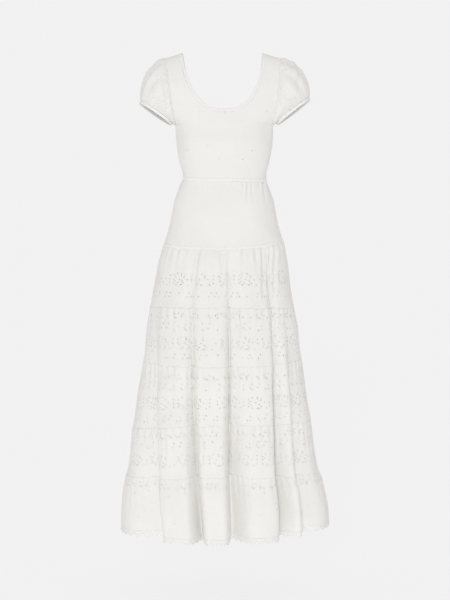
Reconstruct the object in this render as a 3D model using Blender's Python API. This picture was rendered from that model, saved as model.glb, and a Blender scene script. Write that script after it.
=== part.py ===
"""Short-sleeved, scoop-necked dress of white eyelet cotton, with a fitted bodice, a plain basque and
five gathered tiers, in the hollow form that it has when it is worn.

Metres, +Z up. The origin is midway between the two points where a shoulder seam meets the neck, so a
height is the distance below that line, called the drop. The front faces -Y, and an angle round the
garment is 0 at the centre front, 90 degrees at the side seam on +X and 180 at the centre back.
"""

import math

import bpy
import numpy as np

# Cloth and seams
WALL = 0.0015
SEAM_GAP = 0.0003
BAND_PROUD = 0.0010
MOST_MITRE = 1.7
WAIST_BAND = 0.0075
HIP_BAND = 0.0065
NECK_BAND = 0.0085
CUFF_BAND = 0.0085

# Neck, shoulder and armhole, seen from the front
NECK_HALF_WIDTH = 0.1114
FRONT_SCOOP = 0.155
BACK_SCOOP = 0.176
SCOOP_SIDE_POWER = 2.5
SCOOP_DROP_POWER = 1.7
SHOULDER_POINT = 0.161
SHOULDER_DROP = 0.0154
UNDERARM_DROP = 0.2000
ARMHOLE_ROUND = 3.0
FRONT_ARM_SHARE = 0.80
BACK_ARM_SHARE = 0.74
SECTION_POWER = 2.2

# How many points the solids take, and how near the side seams none are
SIDE_CLEAR = 0.02
ROUND_SKIRT = 100
ROUND_YOKE = 64
ROUND_CUFF = 32
HALF_BODICE = 5
NECK_ROWS = 10
CENTRE_ROWS = 2
LOWER_ROWS = 4
TIER_ROWS = (0.0, 0.10, 0.40, 1.0)
YOKE_ROWS = (0.0, 0.12, 0.5, 1.0)
PUFF_ROWS = (0.0, 0.05, 0.27, 0.55, 0.82, 1.0)
NECK_SHARES = np.linspace(0.0, 1.0, NECK_ROWS + 1) ** 0.9

# Gathers: waves round a tier, and how far they stand out a little below their seam
TIER_GATHERS = 22
TIER_GATHER_DEPTH = 0.0032
BACK_WAIST_GATHERS = 16
BACK_WAIST_GATHER_DEPTH = 0.0022
PUFF_GATHERS = 12
PUFF_GATHER_DEPTH = 0.0028

# Scalloped edging along the hem
SCALLOPS = 113
SCALLOP_POINTS = 3
SCALLOP_DEPTH = 0.0050
EDGING = 0.014


def table(columns, rows):
    """A short table as a dictionary from a column's name to its values."""
    return {name: np.array(values) for name, values in zip(columns, zip(*rows))}


# The plain outline at each height: half its width, its depth in front of and behind the side seams, and
# how far the whole garment sways towards +X there
SECTIONS = table(
    ("drop", "half_width", "front", "back", "sway"),
    (
        (0.0000, 0.1372, 0.1080, 0.0980, 0.0000),
        (0.1000, 0.1372, 0.1080, 0.0980, 0.0040),
        (0.2000, 0.1372, 0.1080, 0.0980, 0.0050),
        (0.2525, 0.1350, 0.1180, 0.0990, 0.0058),
        (0.3035, 0.1272, 0.1050, 0.0890, 0.0050),
        (0.3460, 0.1170, 0.0880, 0.0800, 0.0062),
        (0.3560, 0.1172, 0.0850, 0.0790, 0.0062),
        (0.3800, 0.1266, 0.0900, 0.0860, 0.0050),
        (0.4140, 0.1395, 0.0980, 0.0980, 0.0046),
        (0.4820, 0.1530, 0.1100, 0.1170, 0.0040),
        (0.5400, 0.1700, 0.1210, 0.1260, 0.0045),
        (0.5830, 0.1808, 0.1340, 0.1400, 0.0020),
        (0.6510, 0.1925, 0.1520, 0.1590, -0.0010),
        (0.7150, 0.2036, 0.1660, 0.1730, -0.0012),
        (0.7880, 0.2155, 0.1770, 0.1850, -0.0008),
        (0.8680, 0.2236, 0.1870, 0.1950, 0.0000),
        (0.9600, 0.2398, 0.1960, 0.2060, -0.0010),
        (1.0450, 0.2525, 0.2040, 0.2140, -0.0010),
        (1.1400, 0.2650, 0.2120, 0.2230, 0.0004),
        (1.1870, 0.2725, 0.2160, 0.2270, 0.0010),
        (1.2150, 0.2830, 0.2220, 0.2330, 0.0030),
        (1.3000, 0.2965, 0.2310, 0.2410, 0.0060),
        (1.3650, 0.3005, 0.2360, 0.2450, 0.0075),
    ),
)

# Drop of each seam at the side seam on -X, the centre front, the side seam on +X and the centre back
SEAMS = {
    "waist": (0.3530, 0.3540, 0.3580, 0.3550),
    "hip": (0.5415, 0.5446, 0.5325, 0.5400),
    "tier_1": (0.7155, 0.7040, 0.7155, 0.7150),
    "tier_2": (0.8720, 0.8674, 0.8640, 0.8700),
    "tier_3": (1.0620, 1.0280, 1.0390, 1.0450),
    "tier_4": (1.1970, 1.1720, 1.1890, 1.1900),
    "hem": (1.3570, 1.3560, 1.3430, 1.3570),
}
HEM_DROP = 1.3560
TIERS = ("tier_1", "tier_2", "tier_3", "tier_4", "hem")

# The long folds of the skirt: their angle at the hem and at the hip, the drop where each starts, its
# depth there and at the hem, and how wide it is on either side of its deepest line
FOLDS = table(
    ("hem_deg", "hip_deg", "start", "top_depth", "hem_depth", "left_deg", "right_deg"),
    (
        (-48.5, -71.0, 0.700, 0.003, 0.080, 14.0, 4.6),
        (-18.0, -34.0, 0.540, 0.006, 0.066, 3.3, 3.2),
        (5.6, 8.0, 0.540, 0.004, 0.088, 2.6, 9.2),
        (43.0, 52.0, 0.540, 0.008, 0.080, 4.6, 5.0),
        (58.5, 64.0, 0.700, 0.003, 0.056, 4.4, 10.0),
        (99.0, 99.0, 0.640, 0.004, 0.056, 5.0, 4.2),
        (121.0, 119.0, 0.560, 0.005, 0.066, 3.6, 5.4),
        (142.0, 143.0, 0.540, 0.006, 0.076, 5.0, 3.6),
        (163.0, 164.0, 0.580, 0.005, 0.068, 3.4, 5.0),
        (-175.0, -173.0, 0.540, 0.006, 0.078, 5.2, 3.4),
        (-154.0, -152.0, 0.560, 0.005, 0.068, 3.4, 5.2),
        (-133.0, -130.0, 0.540, 0.006, 0.074, 4.8, 3.6),
        (-112.0, -112.0, 0.620, 0.005, 0.060, 3.8, 5.4),
    ),
)
FOLD_GROWTH = 1.5
FOLD_FADE_IN = 0.020

# Puff sleeves: where each cuff's outer and inner ends are, seen from the front, how far its front is
# lifted, and how far the sleeve puffs. The blend is how far the second ring's wall faces as the bodice's.
SLEEVES = table(
    ("side", "outer_x", "outer_drop", "inner_x", "inner_drop", "front_lift", "puff"),
    (
        (-1.0, 0.2345, 0.1345, 0.1455, 0.1965, 0.006, 0.0280),
        (1.0, 0.2390, 0.1240, 0.1460, 0.1955, 0.005, 0.0305),
    ),
)
SLEEVE_NAMES = ("left", "right")
CUFF_HALF_DEPTH = 0.050
UNDERARM_PUFF_SHARE = 0.04
ARMHOLE_BLEND = 0.6

# Plain cloth colours, one for the cloth and one for the folded bands
CLOTH_COLOUR = (0.90, 0.89, 0.86, 1.0)
BAND_COLOUR = (0.93, 0.92, 0.89, 1.0)
CLOTH_ROUGHNESS = 0.9


def clear_scene():
    """Removes whatever the file opens with."""
    for old in list(bpy.data.objects):
        bpy.data.objects.remove(old)


def cloth_material(name, colour):
    """Matt cotton."""
    material = bpy.data.materials.new(name)
    material.use_nodes = True
    shader = material.node_tree.nodes["Principled BSDF"]
    shader.inputs["Base Color"].default_value = colour
    shader.inputs["Roughness"].default_value = CLOTH_ROUGHNESS
    shader.inputs["Metallic"].default_value = 0.0
    return material


def eased(xs, ys, x):
    """A smooth curve through a table's points that never overshoots them."""
    step = np.diff(xs)
    rise = np.diff(ys) / step
    slope = np.zeros(len(ys))
    both = rise[:-1] * rise[1:]
    slope[1:-1] = np.where(both > 0, 2 * both / np.where(both > 0, rise[:-1] + rise[1:], 1.0), 0.0)
    slope[0], slope[-1] = rise[0], rise[-1]
    i = np.clip(np.searchsorted(xs, x, side="right") - 1, 0, len(step) - 1)
    t = np.clip((x - xs[i]) / step[i], 0.0, 1.0)
    rest = 1 - t
    ends = ys[i] * (1 + 2 * t) * rest**2 + ys[i + 1] * (3 - 2 * t) * t**2
    return ends + step[i] * (slope[i] * t * rest**2 - slope[i + 1] * rest * t**2)


def smooth_step(x):
    """0 up to 0, 1 from 1 on, and smooth between."""
    x = np.clip(x, 0.0, 1.0)
    return x * x * (3 - 2 * x)


def seam_drop(name, angle):
    """Drop of a seam at an angle."""
    left, front, right, back = SEAMS[name]
    along, across = np.cos(angle), np.sin(angle)
    return np.where(along > 0, front, back) * along**2 + np.where(across > 0, right, left) * across**2


def plain_section(angle, drop):
    """Points on the outline without folds, and the level direction out of it."""
    width = eased(SECTIONS["drop"], SECTIONS["half_width"], drop)
    front = eased(SECTIONS["drop"], SECTIONS["front"], drop)
    back = eased(SECTIONS["drop"], SECTIONS["back"], drop)
    depth = np.where(np.cos(angle) > 0, front, back)
    across, along = np.sin(angle), np.cos(angle)
    power = SECTION_POWER
    reach = (np.abs(across / width) ** power + np.abs(along / depth) ** power) ** (-1 / power)
    x, y = reach * across, -reach * along
    out = np.stack([x / width**2, y / depth**2, 0 * x], axis=-1)
    out /= np.linalg.norm(out, axis=-1, keepdims=True)
    return np.stack([x, y, -drop], axis=-1), out


def fold_angle(angle, drop):
    """The angle at which a line of cloth lies at this drop, from its angle at the hem: folds hang straight."""
    hem = HEM_DROP
    hip = SEAMS["hip"][0]
    order = np.argsort(FOLDS["hem_deg"])
    hem_deg = FOLDS["hem_deg"][order]
    shift = (FOLDS["hip_deg"] - FOLDS["hem_deg"])[order]
    turns = np.concatenate([hem_deg - 360, hem_deg, hem_deg + 360])
    shifts = np.concatenate([shift, shift, shift])
    drift = np.interp(np.degrees(angle), turns, shifts)
    share = np.clip((hem - drop) / (hem - hip), 0.0, 1.0)
    return angle + np.radians(drift) * share


def fold_depth(angle, drop):
    """How far the long folds draw the cloth in, from a line's angle at the hem."""
    hem = HEM_DROP
    total = np.zeros(np.broadcast(angle, drop).shape)
    for i in range(len(FOLDS["start"])):
        fold = {name: column[i] for name, column in FOLDS.items()}
        away = (np.degrees(angle) - fold["hem_deg"] + 180) % 360 - 180
        wide = np.where(away < 0, fold["left_deg"], fold["right_deg"])
        share = np.clip((drop - fold["start"]) / (hem - fold["start"]), 0.0, 1.0)
        depth = fold["top_depth"] + (fold["hem_depth"] - fold["top_depth"]) * share**FOLD_GROWTH
        fade = smooth_step((drop - fold["start"]) / FOLD_FADE_IN)
        total = total + depth * fade * np.exp(-((away / wide) ** 2))
    return total


def skirt(angle, drop, ripple=0.0):
    """Points on the skirt. The angle is a line of cloth's angle at the hem."""
    points, out = plain_section(fold_angle(angle, drop), drop)
    return points + out * (ripple - fold_depth(angle, drop))[..., None]


def even_lines(count):
    """Angles at the hem of lines of cloth that lie evenly along it, from the centre back round to it again."""
    fine = np.linspace(-math.pi, math.pi, 20001)
    hem = skirt(fine, np.full(len(fine), HEM_DROP))
    length = np.concatenate([[0.0], np.cumsum(np.linalg.norm(np.diff(hem, axis=0), axis=1))])
    return np.interp(np.linspace(0.0, length[-1], count + 1), length, fine), length[-1]


def inner_line(line):
    """The inside of a wall round a closed line of points, each corner moved in so that the wall keeps its
    thickness along the sides."""
    edge = np.roll(line, -1, axis=0) - line
    square = np.stack([edge[:, 1], -edge[:, 0], 0 * edge[:, 0]], axis=1)
    square /= np.linalg.norm(square, axis=1, keepdims=True)
    corner = square + np.roll(square, 1, axis=0)
    size = np.linalg.norm(corner, axis=1, keepdims=True)
    reach = np.minimum(2 / size, MOST_MITRE)
    return line - corner / size * reach * WALL


def grid_triangles(rows, columns, closed=False):
    """Two triangles for each cell of a grid of points."""
    wrap = columns if closed else columns - 1
    faces = []
    for i in range(rows - 1):
        for j in range(wrap):
            k = (j + 1) % columns
            a, b = i * columns + j, i * columns + k
            c, d = b + columns, a + columns
            faces += [(a, d, c), (a, c, b)]
    return faces


def add_wall(name, outer, inner, faces, material):
    """A closed wall between two sheets of points: the faces, the same faces behind them, and a rim. The
    faces may run either way round, as long as they agree; the finished wall faces outward."""
    outer, inner = outer.reshape(-1, 3), inner.reshape(-1, 3)
    _, first, same = np.unique(
        np.round(outer, 7), axis=0, return_index=True, return_inverse=True
    )
    same = same.reshape(-1)
    outer, inner = outer[first], inner[first]
    count = len(outer)
    front = [tuple(int(same[v]) for v in face) for face in faces]
    sides = {}
    for face in front:
        for a, b in zip(face, face[1:] + face[:1]):
            sides[(a, b)] = True
    back = [tuple(count + v for v in reversed(face)) for face in front]
    rim = []
    for a, b in sides:
        if (b, a) not in sides:
            rim += [(b, a, count + a), (b, count + a, count + b)]
    points = np.vstack([outer, inner])
    points[:, 0] += eased(SECTIONS["drop"], SECTIONS["sway"], -points[:, 2])
    triangles = np.array(front + back + rim)
    a, b, c = (points[triangles[:, k]] for k in range(3))
    if (a * np.cross(b, c)).sum() < 0:
        triangles = triangles[:, ::-1]
    mesh = bpy.data.meshes.new(name)
    mesh.from_pydata(points.tolist(), [], triangles.tolist())
    mesh.materials.append(material)
    mesh.validate()
    mesh.shade_smooth()
    mesh.set_sharp_from_angle(angle=math.radians(40))
    piece = bpy.data.objects.new(name, mesh)
    bpy.context.scene.collection.objects.link(piece)
    return piece


def with_side_seams(angles):
    """The angles of a closed ring, with one at each side seam in place of any beside it."""
    sides = np.array([-math.pi / 2, math.pi / 2])
    clear = np.abs(angles[:, None] - sides).min(axis=1) > SIDE_CLEAR
    return np.sort(np.concatenate([angles[clear], sides]))


def add_front_and_back(name, angles, rows, material):
    """A front and a back panel from closed rings of points, parted at the side seams."""
    rows = np.array(rows)
    inner = np.array([inner_line(row) for row in rows])
    left, right = (int(np.argmin(np.abs(angles - side))) for side in (-math.pi / 2, math.pi / 2))
    count = len(angles)
    spans = {"front": np.arange(left, right + 1), "back": np.arange(right, left + count + 1) % count}
    for half, span in spans.items():
        outside, inside = rows[:, span].copy(), inner[:, span].copy()
        for end, beside in ((0, 1), (-1, -2)):
            away = outside[:, beside] - outside[:, end]
            away *= SEAM_GAP / 2 / np.linalg.norm(away, axis=1, keepdims=True)
            outside[:, end] += away
            inside[:, end] += away
        add_wall(f"{name}_{half}", outside, inside, grid_triangles(len(rows), len(span)), material)


def make_skirt(angles, turns, cloth):
    """Five gathered tiers, each a front and a back panel."""
    above = "hip"
    for number, below in enumerate(TIERS, start=1):
        top = seam_drop(above, angles) + SEAM_GAP / 2
        bottom = seam_drop(below, angles) - (EDGING if below == "hem" else 0.0) - SEAM_GAP / 2
        rows = []
        for v in TIER_ROWS:
            fade = smooth_step(v / TIER_ROWS[1]) * (1 - smooth_step((v - TIER_ROWS[1]) / 0.6))
            gathers = TIER_GATHER_DEPTH * fade * np.cos(2 * math.pi * TIER_GATHERS * turns)
            rows.append(skirt(angles, top + (bottom - top) * v, gathers))
        add_front_and_back(f"tier_{number}", angles, rows, cloth)
        above = below


def make_edging(angles, cloth):
    """The scalloped edging of the hem, a closed ring whose lower edge is a row of shallow curves."""
    upper = skirt(angles, seam_drop("hem", angles) - EDGING + SEAM_GAP / 2)
    lower = skirt(angles, seam_drop("hem", angles))
    upper_in, lower_in = inner_line(upper), inner_line(lower)
    length = np.linalg.norm(np.roll(lower, -1, axis=0) - lower, axis=1)
    start = np.concatenate([[0.0], np.cumsum(length)])
    step = start[-1] / (SCALLOPS * SCALLOP_POINTS)
    count = len(angles)
    outer, inner, faces = list(upper), list(upper_in), []
    firsts = []
    for i in range(count):
        marks = np.arange(math.ceil(start[i] / step), math.floor(start[i + 1] / step) + 1) * step
        marks = marks[(marks > start[i] + step / 4) & (marks < start[i + 1] - step / 4)]
        firsts.append(len(outer))
        for place in np.concatenate([[start[i]], marks]):
            t = (place - start[i]) / length[i]
            wave = abs(math.sin(math.pi * SCALLOPS * place / start[-1]))
            down = np.array([0.0, 0.0, -SCALLOP_DEPTH * (wave - 0.5)])
            outer.append(lower[i] + (lower[(i + 1) % count] - lower[i]) * t + down)
            inner.append(lower_in[i] + (lower_in[(i + 1) % count] - lower_in[i]) * t + down)
    firsts.append(len(outer))
    for i in range(count):
        after = (i + 1) % count
        low = list(range(firsts[i], firsts[i + 1])) + [firsts[after]]
        middle = len(low) // 2
        faces += [(i, low[k], low[k + 1]) for k in range(middle)]
        faces.append((i, low[middle], after))
        faces += [(after, low[k], low[k + 1]) for k in range(middle, len(low) - 1)]
    return add_wall("hem_edging", np.array(outer), np.array(inner), faces, cloth)


def ring_band(name, rows, material):
    """A folded band round the garment that stands a little out from the cloth above and below it."""
    inner = np.array([inner_line(row) for row in rows])
    proud = np.array([row - (edge - row) * BAND_PROUD / WALL for row, edge in zip(rows, inner)])
    faces = grid_triangles(len(rows), len(rows[0]), closed=True)
    return add_wall(name, proud, inner, faces, material)


def make_yoke(cloth, bands):
    """The plain basque from waist to hip, with the folded band above it."""
    angles = np.linspace(-math.pi, math.pi, ROUND_YOKE + 1)[:-1]
    waist, hip = seam_drop("waist", angles), seam_drop("hip", angles)
    top = waist + (WAIST_BAND + SEAM_GAP) / 2
    bottom = hip - HIP_BAND - SEAM_GAP / 2
    rows = []
    for v in YOKE_ROWS:
        points, out = plain_section(angles, top + (bottom - top) * v)
        fade = smooth_step(v / YOKE_ROWS[1]) * (1 - smooth_step((v - YOKE_ROWS[1]) / 0.5))
        wave = np.cos(BACK_WAIST_GATHERS * angles) * smooth_step(-1.5 * np.cos(angles)) * fade
        rows.append(points + out * (wave * BACK_WAIST_GATHER_DEPTH)[:, None])
    add_front_and_back("yoke", angles, rows, cloth)
    edges = [plain_section(angles, waist + side * (WAIST_BAND - SEAM_GAP) / 2)[0] for side in (-1, 1)]
    ring_band("waist_band", edges, bands)


def shoulder_fall(x, drop):
    """How far the shoulder has fallen at this distance from the centre, fading out down the armhole."""
    fall = SHOULDER_DROP / (SHOULDER_POINT - NECK_HALF_WIDTH) / (1 - SHOULDER_DROP / UNDERARM_DROP)
    return fall * np.maximum(x - NECK_HALF_WIDTH, 0.0) * np.clip(1 - drop / UNDERARM_DROP, 0.0, 1.0)


def shoulder_line(x):
    """Drop of the shoulder seam at a distance from the centre."""
    fall = SHOULDER_DROP / (SHOULDER_POINT - NECK_HALF_WIDTH) / (1 - SHOULDER_DROP / UNDERARM_DROP)
    run = fall * np.maximum(x - NECK_HALF_WIDTH, 0.0)
    return run / (1 + run / UNDERARM_DROP)


def armhole_x(drop):
    """Distance of the armhole seam from the centre."""
    share = np.clip((drop - SHOULDER_DROP) / (UNDERARM_DROP - SHOULDER_DROP), 0.0, 1.0)
    return SHOULDER_POINT + (SECTIONS["half_width"][0] - SHOULDER_POINT) * share**1.1


def chest_depth(below_shoulder, half):
    """Depth of the body's plain side view: nearly a parabola in front, fuller over the shoulder blades."""
    share = np.clip(below_shoulder / UNDERARM_DROP, 0.0, None)
    if half == "front":
        return SECTIONS["front"][0] * np.sqrt(share)
    return SECTIONS["back"][0] * np.sqrt(np.sin(np.minimum(share, 1.0) * math.pi / 2))


def upper_bodice(x, drop, half):
    """A point above the underarm, from its place in the front view."""
    share = np.clip((drop - SHOULDER_DROP) / (UNDERARM_DROP - SHOULDER_DROP), 0.0, 1.0)
    most = FRONT_ARM_SHARE if half == "front" else BACK_ARM_SHARE
    arm = most * (1 - share**ARMHOLE_ROUND) ** (1 / ARMHOLE_ROUND)
    power = SECTION_POWER
    width = armhole_x(drop) / (1 - arm**power) ** (1 / power)
    round_off = np.clip(1 - np.clip(x / width, 0.0, 1.0) ** power, 0.0, 1.0) ** (1 / power)
    depth = chest_depth(np.maximum(drop - shoulder_fall(x, drop), 0.0), half) * round_off
    return np.stack([x, -depth if half == "front" else depth, -drop], axis=-1)


def neckline(share, half, away):
    """A point along half of the neckline, from the bottom of the scoop (0) to the shoulder (1), moved out
    from the edge by a distance."""
    depth = FRONT_SCOOP if half == "front" else BACK_SCOOP
    angle = math.pi / 2 * (1 - share)
    side, low = np.cos(angle), np.sin(angle)
    x = NECK_HALF_WIDTH * side ** (2 / SCOOP_SIDE_POWER)
    drop = depth * low ** (2 / SCOOP_DROP_POWER)
    steep_x = (x / NECK_HALF_WIDTH) ** (SCOOP_SIDE_POWER - 1) / NECK_HALF_WIDTH
    steep_d = (drop / depth) ** (SCOOP_DROP_POWER - 1) / depth
    size = np.hypot(steep_x, steep_d)
    x, drop = x + away * steep_x / size, drop + away * steep_d / size
    return x, np.maximum(drop, shoulder_line(x))


def upper_bodice_out(x, drop, half, step=2e-4):
    """The direction out of the cloth above the underarm, square to the shoulder seam where it meets it."""
    drop = np.maximum(drop, shoulder_line(x) + step)
    beside = upper_bodice(x + step, drop, half) - upper_bodice(np.maximum(x - step, 0.0), drop, half)
    below = upper_bodice(x, drop + step, half) - upper_bodice(x, drop - step / 2, half)
    out = np.cross(below, beside) if half == "front" else np.cross(beside, below)
    out[..., 0] = np.where(x < step, 0.0, out[..., 0])
    out[..., 1] = np.where(drop <= shoulder_line(x) + 1.01 * step, 0.0, out[..., 1])
    return out / np.linalg.norm(out, axis=-1, keepdims=True)


def bodice_grid(half, side):
    """Half of a panel, on -X or +X, from the waist up to the shoulder, in rows from the centre or the neckline
    out to the side seam or the armhole: its points and the directions out of it."""
    edge = NECK_BAND + SEAM_GAP
    flip = np.array([side, 1.0, 1.0])
    across = np.linspace(0.0, 1.0, HALF_BODICE + 1)
    angles = side * across * math.pi / 2
    if half == "back":
        angles = side * math.pi - angles
    waist = seam_drop("waist", angles) - (WAIST_BAND + SEAM_GAP) / 2
    rows, outs = [], []
    for i in range(LOWER_ROWS + 1):
        points, out = plain_section(angles, waist + (UNDERARM_DROP - waist) * i / LOWER_ROWS)
        rows.append(points)
        outs.append(out)
    side_share = rows[-1][:, 0] / rows[-1][-1, 0]
    scoop_drop = neckline(np.array(0.0), half, edge)[1]
    level_drop = scoop_drop + 0.3 * (UNDERARM_DROP - scoop_drop)
    total = CENTRE_ROWS + NECK_ROWS
    for i in range(1, total + 1):
        if i < CENTRE_ROWS:
            inner = (0.0, UNDERARM_DROP + (scoop_drop - UNDERARM_DROP) * i / CENTRE_ROWS)
            arm_drop = UNDERARM_DROP + (level_drop - UNDERARM_DROP) * i / CENTRE_ROWS
        else:
            inner = neckline(np.array(NECK_SHARES[i - CENTRE_ROWS]), half, edge)
            t = 1 - (1 - (i - CENTRE_ROWS) / NECK_ROWS) ** 1.25
            arm_drop = level_drop + (SHOULDER_DROP - level_drop) * t
        arm = armhole_x(arm_drop)
        ease = smooth_step(1.4 * i / total)
        spread = side_share * (1 - ease) + across * ease
        x = inner[0] + (arm - inner[0]) * spread
        drop = inner[1] + (arm_drop - inner[1]) * spread
        if i == total:
            drop = shoulder_line(x)
        rows.append(upper_bodice(x, drop, half) * flip)
        outs.append(upper_bodice_out(x, drop, half) * flip)
    return np.array(rows), np.array(outs)


def make_bodice(cloth):
    """Front and back bodice panels, each cut in one from side seam to side seam."""
    for half, toward in (("front", -1.0), ("back", 1.0)):
        outer, inner = [], []
        for side in (-1.0, 1.0):
            points, out = bodice_grid(half, side)
            points[: LOWER_ROWS + 1, -1, 1] = toward * SEAM_GAP / 2
            points[-1, :, 1] = toward * SEAM_GAP / 2
            rows, columns = points.shape[:2]
            outer.append(points.reshape(-1, 3))
            inner.append((points - out * WALL).reshape(-1, 3))
        faces = grid_triangles(rows, columns)
        mirrored = [tuple(rows * columns + v for v in reversed(face)) for face in faces]
        add_wall(f"bodice_{half}", np.vstack(outer), np.vstack(inner), faces + mirrored, cloth)


def make_neck_band(bands):
    """The narrow band round the whole neck."""
    loops, outs = [], []
    for away in (0.0, NECK_BAND):
        sides, side_outs = [], []
        for half in ("front", "back"):
            x, drop = neckline(NECK_SHARES, half, away)
            sides.append(upper_bodice(x, drop, half))
            side_outs.append(upper_bodice_out(x, drop, half))
        right = np.vstack([sides[0], sides[1][-2::-1]])
        right_out = np.vstack([side_outs[0], side_outs[1][-2::-1]])
        flip = np.array([-1.0, 1.0, 1.0])
        loops.append(np.vstack([right, right[-2:0:-1] * flip]))
        outs.append(np.vstack([right_out, right_out[-2:0:-1] * flip]))
    loops, outs = np.array(loops), np.array(outs)
    faces = grid_triangles(2, loops.shape[1], closed=True)
    return add_wall("neck_band", loops + outs * BAND_PROUD / 2, loops - outs * WALL, faces, bands)


def armhole_loop(side):
    """The armhole's points and the directions out of the bodice there, from the shoulder down the front, under
    the arm and up the back."""
    front, front_out = (grid[LOWER_ROWS:, -1] for grid in bodice_grid("front", side))
    back, back_out = (grid[LOWER_ROWS:, -1] for grid in bodice_grid("back", side))
    return np.vstack([front[::-1], back[1:-1]]), np.vstack([front_out[::-1], back_out[1:-1]])


def between(points):
    """The loop with a point added halfway along each side."""
    middle = (points + np.roll(points, -1, axis=0)) / 2
    return np.stack([points, middle], axis=1).reshape(-1, 3)


def sleeve_rings(sleeve):
    """Rings of one puff sleeve from the armhole to the cuff seam, and the cuff's middle and arm direction."""
    side = sleeve["side"]
    loop, outs = armhole_loop(side)
    loop, outs = between(loop), between(outs)
    outs /= np.linalg.norm(outs, axis=1, keepdims=True)
    count = len(loop)
    outer_end = np.array([side * sleeve["outer_x"], 0.0, -sleeve["outer_drop"]])
    inner_end = np.array([side * sleeve["inner_x"], 0.0, -sleeve["inner_drop"]])
    middle = (outer_end + inner_end) / 2
    across = outer_end - middle
    lift = np.array([-across[2] * side, 0.0, across[0] * side])
    forward = np.array([0.0, -CUFF_HALF_DEPTH, 0.0]) + lift / np.linalg.norm(lift) * sleeve["front_lift"]
    arm = np.cross(across, forward) * side
    arm /= np.linalg.norm(arm)
    steps = np.linalg.norm(np.roll(loop, -1, axis=0) - loop, axis=1)
    half = count // 2
    down = np.concatenate([[0.0], np.cumsum(steps[:half])]) / steps[:half].sum()
    up = np.cumsum(steps[half:])[:-1] / steps[half:].sum()
    turn = math.pi * np.concatenate([down, 1 + up])
    cuff = middle + np.cos(turn)[:, None] * across + np.sin(turn)[:, None] * forward
    beyond = np.cross(np.roll(loop, -1, axis=0) - np.roll(loop, 1, axis=0), outs)
    beyond /= np.linalg.norm(beyond, axis=1, keepdims=True)
    if (beyond[:, 0] * side).sum() < 0:
        beyond = -beyond
    first = loop + beyond * SEAM_GAP * 1.6
    crown = (1 + np.cos(turn)) / 2
    puff = sleeve["puff"] * (UNDERARM_PUFF_SHARE + (1 - UNDERARM_PUFF_SHARE) * crown**0.6)
    rings = []
    for share in PUFF_ROWS:
        ring = first * (1 - share) + (cuff - arm * SEAM_GAP / 2) * share
        away = ring - ring.mean(axis=0)
        away /= np.linalg.norm(away, axis=1, keepdims=True)
        swell = 4 * share * (1 - share)
        gather = np.cos(PUFF_GATHERS * turn) * PUFF_GATHER_DEPTH * swell * crown**0.5
        rings.append(ring + away * (puff * swell + gather)[:, None])
    return np.array(rings), outs, middle, across, forward, arm


def make_sleeves(cloth, bands):
    """Two puff sleeves, each with its narrow cuff band."""
    for i, name in enumerate(SLEEVE_NAMES):
        sleeve = {column: values[i] for column, values in SLEEVES.items()}
        rings, outs, middle, across, forward, arm = sleeve_rings(sleeve)
        rows, count = rings.shape[:2]
        along = np.roll(rings, -1, axis=1) - np.roll(rings, 1, axis=1)
        down = np.gradient(rings, axis=0)
        out = np.cross(along, down)
        if (out * (rings - rings.mean(axis=1, keepdims=True))).sum() < 0:
            out = -out
        out /= np.linalg.norm(out, axis=-1, keepdims=True)
        out[0] = outs
        out[1] += ARMHOLE_BLEND * outs
        out[-1] -= (out[-1] @ arm)[:, None] * arm
        out /= np.linalg.norm(out, axis=-1, keepdims=True)
        faces = grid_triangles(rows, count, closed=True)
        add_wall(f"sleeve_{name}", rings, rings - out * WALL, faces, cloth)

        turn = 2 * math.pi * np.arange(ROUND_CUFF) / ROUND_CUFF
        spoke = np.cos(turn)[:, None] * across + np.sin(turn)[:, None] * forward
        unit = spoke / np.linalg.norm(spoke, axis=1, keepdims=True)
        ends = [middle + arm * SEAM_GAP / 2, middle + arm * CUFF_BAND]
        outer = np.array([end + spoke + unit * BAND_PROUD for end in ends])
        inner = np.array([end + spoke - unit * WALL for end in ends])
        faces = grid_triangles(2, ROUND_CUFF, closed=True)
        add_wall(f"cuff_{name}", outer, inner, faces, bands)


def main():
    """Makes every piece of the dress."""
    clear_scene()
    cloth = cloth_material("eyelet_cotton", CLOTH_COLOUR)
    bands = cloth_material("band_cotton", BAND_COLOUR)
    lines, hem_length = even_lines(ROUND_SKIRT)
    angles = with_side_seams(lines[:-1])
    turns = np.interp(angles, lines, np.linspace(0.0, 1.0, len(lines)))
    hip = seam_drop("hip", angles)
    make_bodice(cloth)
    make_neck_band(bands)
    make_sleeves(cloth, bands)
    make_yoke(cloth, bands)
    hip_edges = [skirt(angles, hip - lift) for lift in (HIP_BAND - SEAM_GAP / 2, SEAM_GAP / 2)]
    ring_band("hip_band", hip_edges, bands)
    make_skirt(angles, turns, cloth)
    make_edging(angles, cloth)
    print(f"hem length {hem_length:.3f} m")


main()
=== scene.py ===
# %% [markdown]
# # A tiered dress of white eyelet cotton
# The dress hangs as it does when it is worn: a fitted bodice with a scoop neck and short puff sleeves, a plain
# basque from waist to hip, and five gathered tiers down to a scalloped hem. The rigid frame already holds its
# main form. Here each of its solids is replaced by a thin shell of cloth on the same curves, with finer gathers
# and creases, real eyelets, raised embroidery and stitching.

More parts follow.
